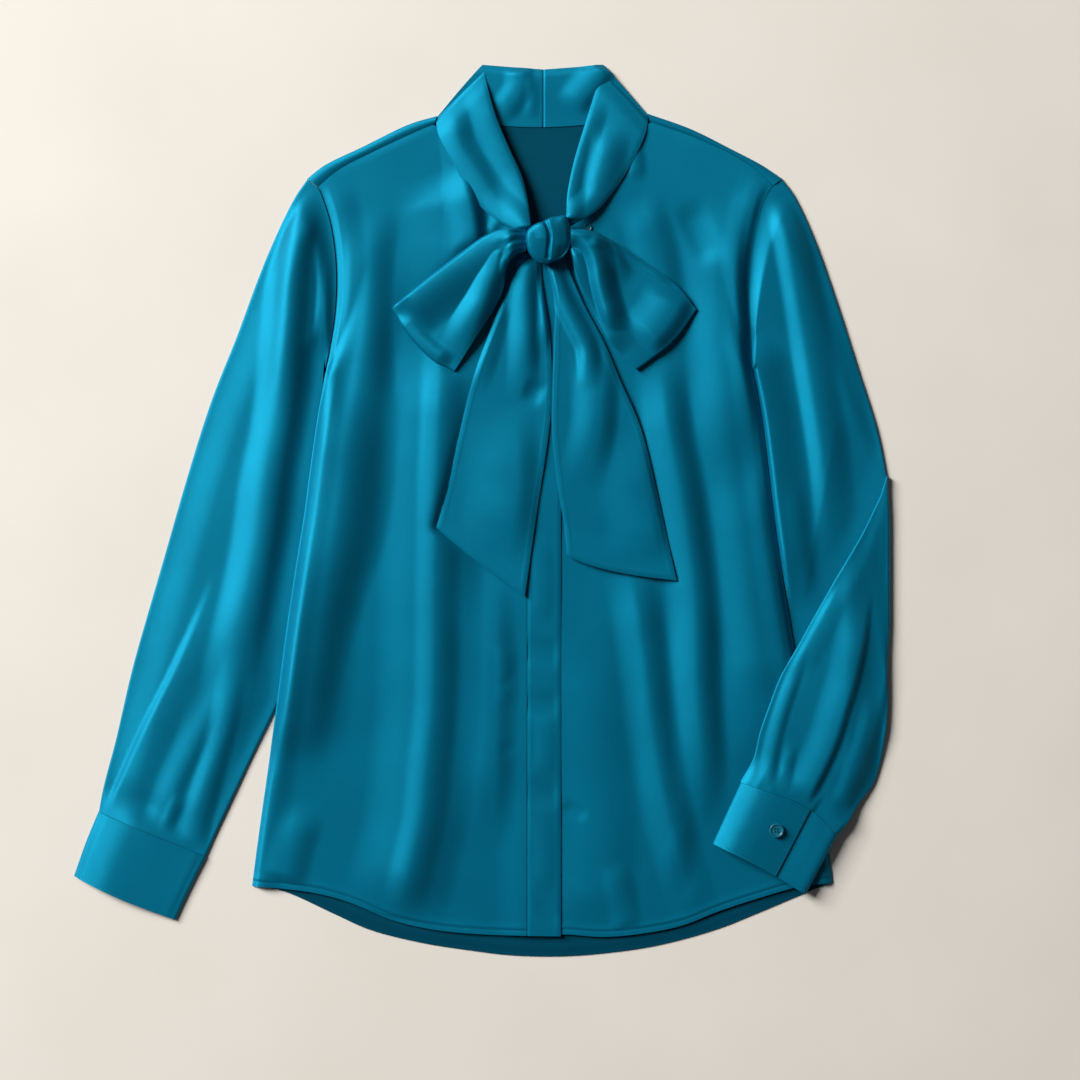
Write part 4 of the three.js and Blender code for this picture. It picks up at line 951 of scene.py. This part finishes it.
def bow_loop(node, edges, rows, gather):
    out = np.linspace(0, 1, 70)
    flat = net(*(line(e) for e in edges), shares(60, 6, 0.05), out)
    v = out[:, None]
    u = np.linspace(0, 1, flat.shape[1])[None] + 0 * v
    lower_z = LOOP_Z + 9 * (1 - ease(0, 0.55, v)) + 0 * u
    belly = np.sin(np.pi * v) ** 0.8 * np.sin(np.pi * (0.12 + 0.76 * u))
    gathers = gather * np.cos(u * math.pi * 7 + 0.6) * (1 - ease(0.02, 0.3, v))
    x, y = flat[..., 0], flat[..., 1]
    rise = np.maximum(folds(rows[:1], x, y), folds(rows[1:3], x, y)) + folds(rows[3:], x, y)
    upper_z = lower_z + 3.0 + 3 * belly + rise + gathers
    upper_z = np.maximum(upper_z, lower_z + 1.6)
    lower, upper = np.dstack([flat, lower_z]), np.dstack([flat, upper_z])
    middle, half = (lower[-1] + upper[-1]) / 2, (upper[-1] - lower[-1])[:, 2:] / 2
    outward = flat[-1] - flat[-2]
    outward /= np.linalg.norm(outward, axis=-1, keepdims=True)
    hairpin = [
        np.c_[middle[:, :2] + outward * half * math.cos(t), middle[:, 2:] + half * math.sin(t)]
        for t in np.radians([70, 45, 20, 0, -20, -45, -70])]
    return cloth(node, np.concatenate([upper, np.array(hairpin), lower[::-1]]))


bow_loop(
    "bow_loop_right",
    ([(36, 236), (36, 219)], [(36, 236), (19, 237), (3, 232), (-20, 217), (-47, 196), (-77, 172)],
     [(36, 219), (26, 214), (19, 203), (17, 188), (8, 169), (-8, 144), (-24, 119)],
     [(-77, 172), (-57, 145), (-41, 129), (-24, 119)]),
    [
        ([(34, 234.5), (16, 234.5), (2, 229), (-18, 215), (-46, 194), (-74, 171)], 3, 36, 9.0, 0.1, 0.1, 0.1, 0.12),
        ([(14, 230), (12, 219), (9, 206), (4, 193), (-1, 177), (-8, 161), (-16, 144), (-25, 126)],
         19, 14, 7.0, 0, 0.1, 0.12, 0.5),
        ([(34, 226), (25, 221), (19, 213)], 5, 4, 1.6, 0.2, 0.2, 0.1, 0.3),
        ([(-72, 166), (-58, 148), (-42, 133), (-28, 124)], 5, 10, 3.0, 0.1, 0, 0.2, 0.2),
        ([(34, 225), (25, 220), (20, 210), (18, 196)], 5, 4, 2.4, 0.2, 0.2, 0.1, 0.3),
        ([(35, 231), (24, 229), (16, 224)], 3, 3, 1.2, 0.2, 0.2, 0.1, 0.4),
    ], 0.35,
)
bow_loop(
    "bow_loop_left",
    ([(74, 219), (74, 236)], [(74, 219), (80, 193), (94, 166), (110, 139), (129, 120)],
     [(74, 236), (92, 235), (110, 227), (140, 207), (163, 191), (180, 171)],
     [(129, 120), (145, 132), (162, 147), (180, 171)]),
    [
        ([(74, 224), (78, 204), (88, 178), (104, 150), (118, 132)], 3, 20, 3.4, 0.1, 0.1, 0.1, 0.2),
        ([(72, 232), (82, 230), (91, 221), (96, 208), (98.5, 192), (102, 177), (107.5, 160), (116, 142)],
         11, 16, 9.0, 0.3, 0.1, 0.02, 0.3),
        ([(168, 186), (160, 166), (148, 150), (136, 138)], 32, 14, 4.6, 0, 0, 0.25, 0.25),
        ([(90, 229), (104, 223), (114, 209), (122, 194)], 7, 8, 2.6, 0.3, 0.2, 0.15, 0.4),
        ([(78, 234), (100, 229), (126, 213), (160, 190)], 3, 12, 1.4, 0.1, 0.2, 0.2, 0.2),
    ], 0.2,
)


# %% Tails
TAIL_Z = PLACKET_Z + DOUBLE_WALL / 2 + LAYER + 0.5 + WALL / 2


TAIL_END_LIFT = 1.6


def bow_tail(node, edges, rows):
    flat = net(*(line(e) for e in edges), shares(40, 8, 0.08), shares(120, 5, 0.02))
    down, up = row_steps(flat)
    v = down / down[-1]
    u = np.linspace(0, 1, flat.shape[1])[None] + 0 * v
    pleats = 0.25 * (1 + np.cos((u * 4 + 0.2) * np.pi)) * (1 - ease(0, 0.25, v)) * ease(0, 0.1, v)
    from_rim = np.minimum(np.minimum(from_start(flat, 0), from_start(flat, -1)), up)
    ridge = 0.14 * np.exp(-((from_rim - 4.2) / 0.9) ** 2) + 0.35 * ease(0, 2.0, from_rim) - 0.35
    z = TAIL_Z + folds(rows, flat[..., 0], flat[..., 1]) * ease(-2, 4, from_rim) * ease(0, 26, up) + pleats + ridge
    z = z + ripple(flat[..., 0], flat[..., 1], 70, 0.2, 0.5) + TAIL_END_LIFT * (1 - ease(0, 34, up))
    return cloth(node, np.dstack([flat, z]))


bow_tail(
    "bow_tail_right",
    ([(34, 218), (48, 214)],
     [(34, 218), (25, 204), (17, 180), (3, 145), (-9, 111), (-22, 59), (-31, 18), (-40, -15)],
     [(48, 214), (50, 189), (56, 150), (58, 110), (56.5, 77), (52, 42), (45, -3), (35, -74)],
     [(-40, -15), (-3, -46), (35, -74)]),
    [
        ([(40, 214), (36, 190), (36, 160), (36, 130), (34, 90)], 16, 12, 5.0, 0.2, 0.1, 0.08, 0.5),
        ([(54, 200), (53, 170), (52, 130)], 8, 4, 2.4, 0.1, 0, 0.15, 0.4),
        ([(47, 112), (43, 100), (38, 88)], 10, 10, -1.8, 0, 0, 0.4, 0.4),
        ([(24, 90), (28, 40), (24, -10), (16, -50)], 46, 20, 3.6, 0.1, 0, 0.4, 0.4),
        ([(14, 180), (4, 140), (-8, 100)], 7, 12, 1.8, 0.2, 0, 0.2, 0.4),
    ],
)
bow_tail(
    "bow_tail_left",
    ([(52, 214), (67, 218)],
     [(52, 214), (60, 180), (59.5, 144), (58.5, 110), (58, 68), (63, 20), (68, -11), (71, -39)],
     [(67, 218), (75, 198), (86, 173), (102, 143), (116, 110), (133, 71), (147, 16), (157, -29), (164, -60)],
     [(71, -39), (91, -47), (120, -54), (164, -60)]),
    [
        ([(54, 208), (68, 176), (80, 152), (86.5, 138), (88.5, 122), (87, 100)], 9, 12, 4.6, 0.2, 0.1, 0.08, 0.3),
        ([(92, 140), (97, 115), (98, 90), (96, 65), (90, 40), (84, 10)], 24, 17, 4.4, 0, 0, 0.35, 0.55),
        ([(124, 70), (138, 10), (146, -50)], 40, 14, 2.8, 0, 0, 0.4, 0.3),
    ],
)

# %% [markdown]
# ## The knot
# The knot is a short stretch of the same band wrapped once round. A sphere is pressed into a
# rounded block, and its upper side gets two lobes and a fold that runs over it like an S.

# %% Knot
KNOT_X, KNOT_Y, KNOT_Z = 55, 227.5, 19
KNOT_OUTLINE = [
    (73.4, 233), (72.6, 243), (70, 248.6), (62, 247.4), (50.5, 243), (42, 240), (36.8, 235), (36.6, 224), (40.5, 214),
    (49.4, 207.6), (59, 209.6), (68, 214), (72.6, 221)]
KNOT_FOLDS = [
    ([(48, 246), (50.4, 240), (52.4, 235), (53.2, 230), (52.6, 225), (50, 221)], 9, 2.6, 1.5, 0.1, 0.2, 0.0, 0.35),
    ([(50.6, 247), (53.6, 240), (55.4, 234), (55.9, 228), (55.2, 220), (54.6, 212)], 1.7, 1.7, -1.8, 0, 0, 0.0, 0.0),
    ([(53.6, 247), (56.6, 240), (58.4, 233), (58.7, 226), (58, 216), (57.6, 210)], 2.4, 8, 1.3, 0.2, 0, 0.0, 0.0),
    ([(67, 249), (69, 236), (68.6, 218)], 8, 4, 1.2, 0.1, 0, 0.1, 0.2),
]
bpy.ops.object.select_all(action="DESELECT")
bpy.ops.mesh.primitive_uv_sphere_add(segments=128, ring_count=96, radius=1, location=(0, 0, 0))
knot = bpy.context.object
knot.name = "bow_knot_cloth"
count = len(knot.data.vertices)
p = np.empty(count * 3)
knot.data.vertices.foreach_get("co", p)
p = p.reshape(-1, 3)
rim = np.array(KNOT_OUTLINE, float) - (KNOT_X, KNOT_Y)
rim_angle, rim_far = np.arctan2(rim[:, 1], rim[:, 0]), np.hypot(rim[:, 0], rim[:, 1])
order = np.argsort(rim_angle)
rim_angle, rim_far = rim_angle[order], rim_far[order]
turns = np.r_[rim_angle[-3:] - 2 * math.pi, rim_angle, rim_angle[:3] + 2 * math.pi]
fars = np.r_[rim_far[-3:], rim_far, rim_far[:3]]
even = np.linspace(-math.pi, math.pi, 361)
smooth = np.convolve(np.interp(np.linspace(-4, 4, 459), turns, fars, period=2 * math.pi), np.ones(11) / 11, "same")
smooth = np.interp(even, np.linspace(-4, 4, 459), smooth)
angle = np.arctan2(p[:, 1], p[:, 0])
out = np.hypot(p[:, 0], p[:, 1])
far = np.interp(angle, even, smooth) * out
world_x, world_y = KNOT_X + far * np.cos(angle), KNOT_Y + far * np.sin(angle)
world_z = KNOT_Z + 8.4 * np.sign(p[:, 2]) * np.abs(p[:, 2]) ** 0.5
lean = 0.1 * (world_y - KNOT_Y) - 0.14 * (world_x - KNOT_X)
world_z = world_z + (lean + folds(KNOT_FOLDS, world_x, world_y)) * ease(0, 0.5, p[:, 2])
knot.data.vertices.foreach_set("co", np.stack([world_x, world_y, world_z], -1).ravel() * MM)
knot.data.update()
bpy.ops.object.mode_set(mode="EDIT")
bpy.ops.mesh.select_all(action="SELECT")
bpy.ops.mesh.normals_make_consistent(inside=False)
bpy.ops.object.mode_set(mode="OBJECT")
for layer in knot.data.uv_layers:
    for loop in knot.data.loops:
        co = knot.data.vertices[loop.vertex_index].co
        layer.data[loop.index].uv = (co.x + co.z, co.y)
bpy.ops.object.shade_smooth()
finish_piece(knot, "bow_knot")
print("knot:", len(knot.data.polygons), "faces")


# %% [markdown]
# ## Buttons
# A four-hole button is turned from a disc: a raised rim, a dished middle and four holes. The small one at the neck is
# turned the same way. A cylinder is inset and pushed down, its edges are bevelled, and the holes are cut with a
# Boolean.

# %% Button maker
def button(node, place, radius, thick, holes):
    bpy.ops.object.select_all(action="DESELECT")
    bpy.ops.mesh.primitive_cylinder_add(vertices=64, radius=radius, depth=thick, location=(*place[:2], place[2] + thick / 2))
    made = bpy.context.object
    made.name = f"{node}_turned"
    bpy.ops.object.transform_apply(location=True, rotation=True, scale=True)
    bpy.ops.object.mode_set(mode="EDIT")
    bpy.ops.mesh.select_all(action="DESELECT")
    bpy.ops.object.mode_set(mode="OBJECT")
    for face in made.data.polygons:
        face.select = face.normal.z > 0.9
    bpy.ops.object.mode_set(mode="EDIT")
    bpy.ops.mesh.select_mode(type="FACE")
    bpy.ops.mesh.inset(thickness=radius * 0.2)
    bpy.ops.mesh.inset(thickness=radius * 0.1)
    bpy.ops.transform.translate(value=(0, 0, -thick * 0.3))
    bpy.ops.object.mode_set(mode="OBJECT")
    bpy.ops.object.modifier_add(type="BEVEL")
    made.modifiers[-1].width = thick * 0.16
    made.modifiers[-1].segments = 3
    made.modifiers[-1].limit_method = "ANGLE"
    bpy.ops.object.modifier_apply(modifier=made.modifiers[-1].name)
    for sx, sy in ((1, 1), (1, -1), (-1, -1), (-1, 1)) if holes else ():
        spot = (place[0] + sx * radius * 0.2, place[1] + sy * radius * 0.2, place[2] + thick / 2)
        bpy.ops.mesh.primitive_cylinder_add(vertices=20, radius=radius * 0.12, depth=thick * 3, location=spot)
        drill = bpy.context.object
        bpy.ops.object.select_all(action="DESELECT")
        bpy.context.view_layer.objects.active = made
        made.select_set(True)
        bpy.ops.object.modifier_add(type="BOOLEAN")
        made.modifiers[-1].object = drill
        made.modifiers[-1].operation = "DIFFERENCE"
        made.modifiers[-1].solver = "EXACT"
        bpy.ops.object.modifier_apply(modifier=made.modifiers[-1].name)
        bpy.data.objects.remove(drill)
    bpy.ops.object.select_all(action="DESELECT")
    bpy.context.view_layer.objects.active = made
    made.select_set(True)
    bpy.ops.object.shade_smooth_by_angle(angle=math.radians(35))
    print(made.name, len(made.data.polygons), "faces")
    return finish_piece(made, node, finish=dyed_button)


low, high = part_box("cuff_button")
button("cuff_button", ((low[0] + high[0]) / 2, (low[1] + high[1]) / 2, low[2]), 0.006, 0.0026, True)
low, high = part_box("neck_button")
button("neck_button", ((low[0] + high[0]) / 2, (low[1] + high[1]) / 2, low[2]), 0.003, 0.002, False)

# %% [markdown]
# ## Stitches
# A row of stitches is one small spindle of thread after another, just above the cloth. Each row is
# given on the net of its own piece, as shares across and down, so it follows every fold there.

# %% Stitch maker
PITCH, STITCH, THREAD = 2.3, 1.5, 0.42


def stitch_row(node, route, lift=0.45):
    """Places along a route (shares across and down a piece's net), a stitch apart, with direction and up."""
    points = made_nets[node]
    rows, columns = points.shape[:2]
    t = np.linspace(0, 1, 1600)
    across = np.interp(t, np.linspace(0, 1, len(route)), [r[0] for r in route]) * (columns - 1)
    down = np.interp(t, np.linspace(0, 1, len(route)), [r[1] for r in route]) * (rows - 1)
    i, j = np.minimum(down.astype(int), rows - 2), np.minimum(across.astype(int), columns - 2)
    a, b = (down - i)[:, None], (across - j)[:, None]
    q = (points[i, j] * (1 - a) * (1 - b) + points[i + 1, j] * a * (1 - b)
         + points[i, j + 1] * (1 - a) * b + points[i + 1, j + 1] * a * b)
    length = np.r_[0, np.cumsum(np.linalg.norm(np.diff(q, axis=0), axis=1))]
    stops = np.arange(PITCH, length[-1] - PITCH / 2, PITCH)
    at = np.stack([np.interp(stops, length, q[:, k]) for k in range(3)], -1)
    ahead = np.stack([np.interp(stops + 0.5, length, q[:, k]) for k in range(3)], -1) - at
    ahead /= np.maximum(np.linalg.norm(ahead, axis=1, keepdims=True), 1e-6)
    return at + np.array([0, 0, lift]), ahead


def stitches(name, with_rows):
    """One piece of all these rows: a small spindle for each stitch."""
    verts, faces = [], []
    for at, ahead in with_rows:
        side = np.cross(ahead, [0, 0, 1])
        side /= np.linalg.norm(side, axis=1, keepdims=True)
        for p, f, s in zip(at, ahead, side):
            n = len(verts)
            up = np.cross(s, f)
            verts += [p - f * STITCH / 2 - up * 0.25, p - f * STITCH / 4 + up * 0.08, p + f * STITCH / 4 + up * 0.08,
                      p + f * STITCH / 2 - up * 0.25, p + s * THREAD / 2 - up * 0.1, p - s * THREAD / 2 - up * 0.1,
                      p - up * 0.3]
            faces += [(n, n + 4, n + 1), (n + 1, n + 4, n + 2), (n + 2, n + 4, n + 3), (n, n + 1, n + 5),
                      (n + 1, n + 2, n + 5), (n + 2, n + 3, n + 5), (n, n + 6, n + 4), (n + 4, n + 6, n + 3),
                      (n, n + 5, n + 6), (n + 5, n + 3, n + 6)]
    mesh = bpy.data.meshes.new(name)
    mesh.from_pydata((np.array(verts) * MM).tolist(), [], faces)
    made = bpy.data.objects.new(name, mesh)
    bpy.context.collection.objects.link(made)
    flat = mesh.uv_layers.new(name="cut").data
    for loop in mesh.loops:
        flat[loop.index].uv = mesh.vertices[loop.vertex_index].co.xy
    bpy.ops.object.select_all(action="DESELECT")
    bpy.context.view_layer.objects.active = made
    made.select_set(True)
    bpy.ops.object.mode_set(mode="EDIT")
    bpy.ops.mesh.select_all(action="SELECT")
    bpy.ops.mesh.normals_make_consistent(inside=False)
    bpy.ops.object.mode_set(mode="OBJECT")
    # The thread's darker colour is painted shade of the stitch dents.
    finish_piece(made, None, finish=shaded_thread_teal)
    print(name, len(verts) // 7, "stitches")
    return made


def down_share(node, mm_up):
    """The share down a net that lies so many millimetres above its last row."""
    points = made_nets[node]
    step = np.linalg.norm(np.diff(points, axis=0), axis=-1).mean(axis=1)
    along = np.r_[0, np.cumsum(step)]
    return float(np.interp(along[-1] - mm_up, along, np.linspace(0, 1, len(along))))


# %% Rows of stitches
hem_r, hem_l, hem_b = down_share("front_right", 4.6), down_share("front_left", 4.6), down_share("back", 8)
side_low = down_share("front_right", 88)
stitches("hem_stitches", [
    stitch_row("front_right", [(0.02, hem_r), (0.99, hem_r)]),
    stitch_row("front_left", [(0.02, hem_l), (0.98, hem_l)]),
    stitch_row("back", [(0.02, hem_b), (0.98, hem_b)]),
])
stitches("placket_stitches", [stitch_row("placket", [(0.1, 0.01), (0.05, 0.99)], 0.6)])
stitches("side_stitches", [stitch_row("front_right", [(0.08, side_low), (0.09, hem_r)])])
stitches("cuff_stitches", [
    stitch_row("cuff_left", [(0.02, 0.9), (0.26, 0.9)], 0.6),
    stitch_row("cuff_left", [(0.01, 0.1), (0.26, 0.1)], 0.6),
])
low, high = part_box("cuff_button")
along = np.array([-0.9, 0.42, 0])
hole = np.array([(low[0] + high[0]) / 2, (low[1] + high[1]) / 2, low[2]]) / MM + np.outer(np.arange(5, 9.4, 0.5), along)
hole[:, 2] += 0.25
stitches("buttonhole", [(hole, np.tile([0.42, 0.9, 0.0], (len(hole), 1)))])
stitches("collar_stitches", [stitch_row("collar_back_right", [(0.45, 0.93), (0.97, 0.93)], 0.6)])
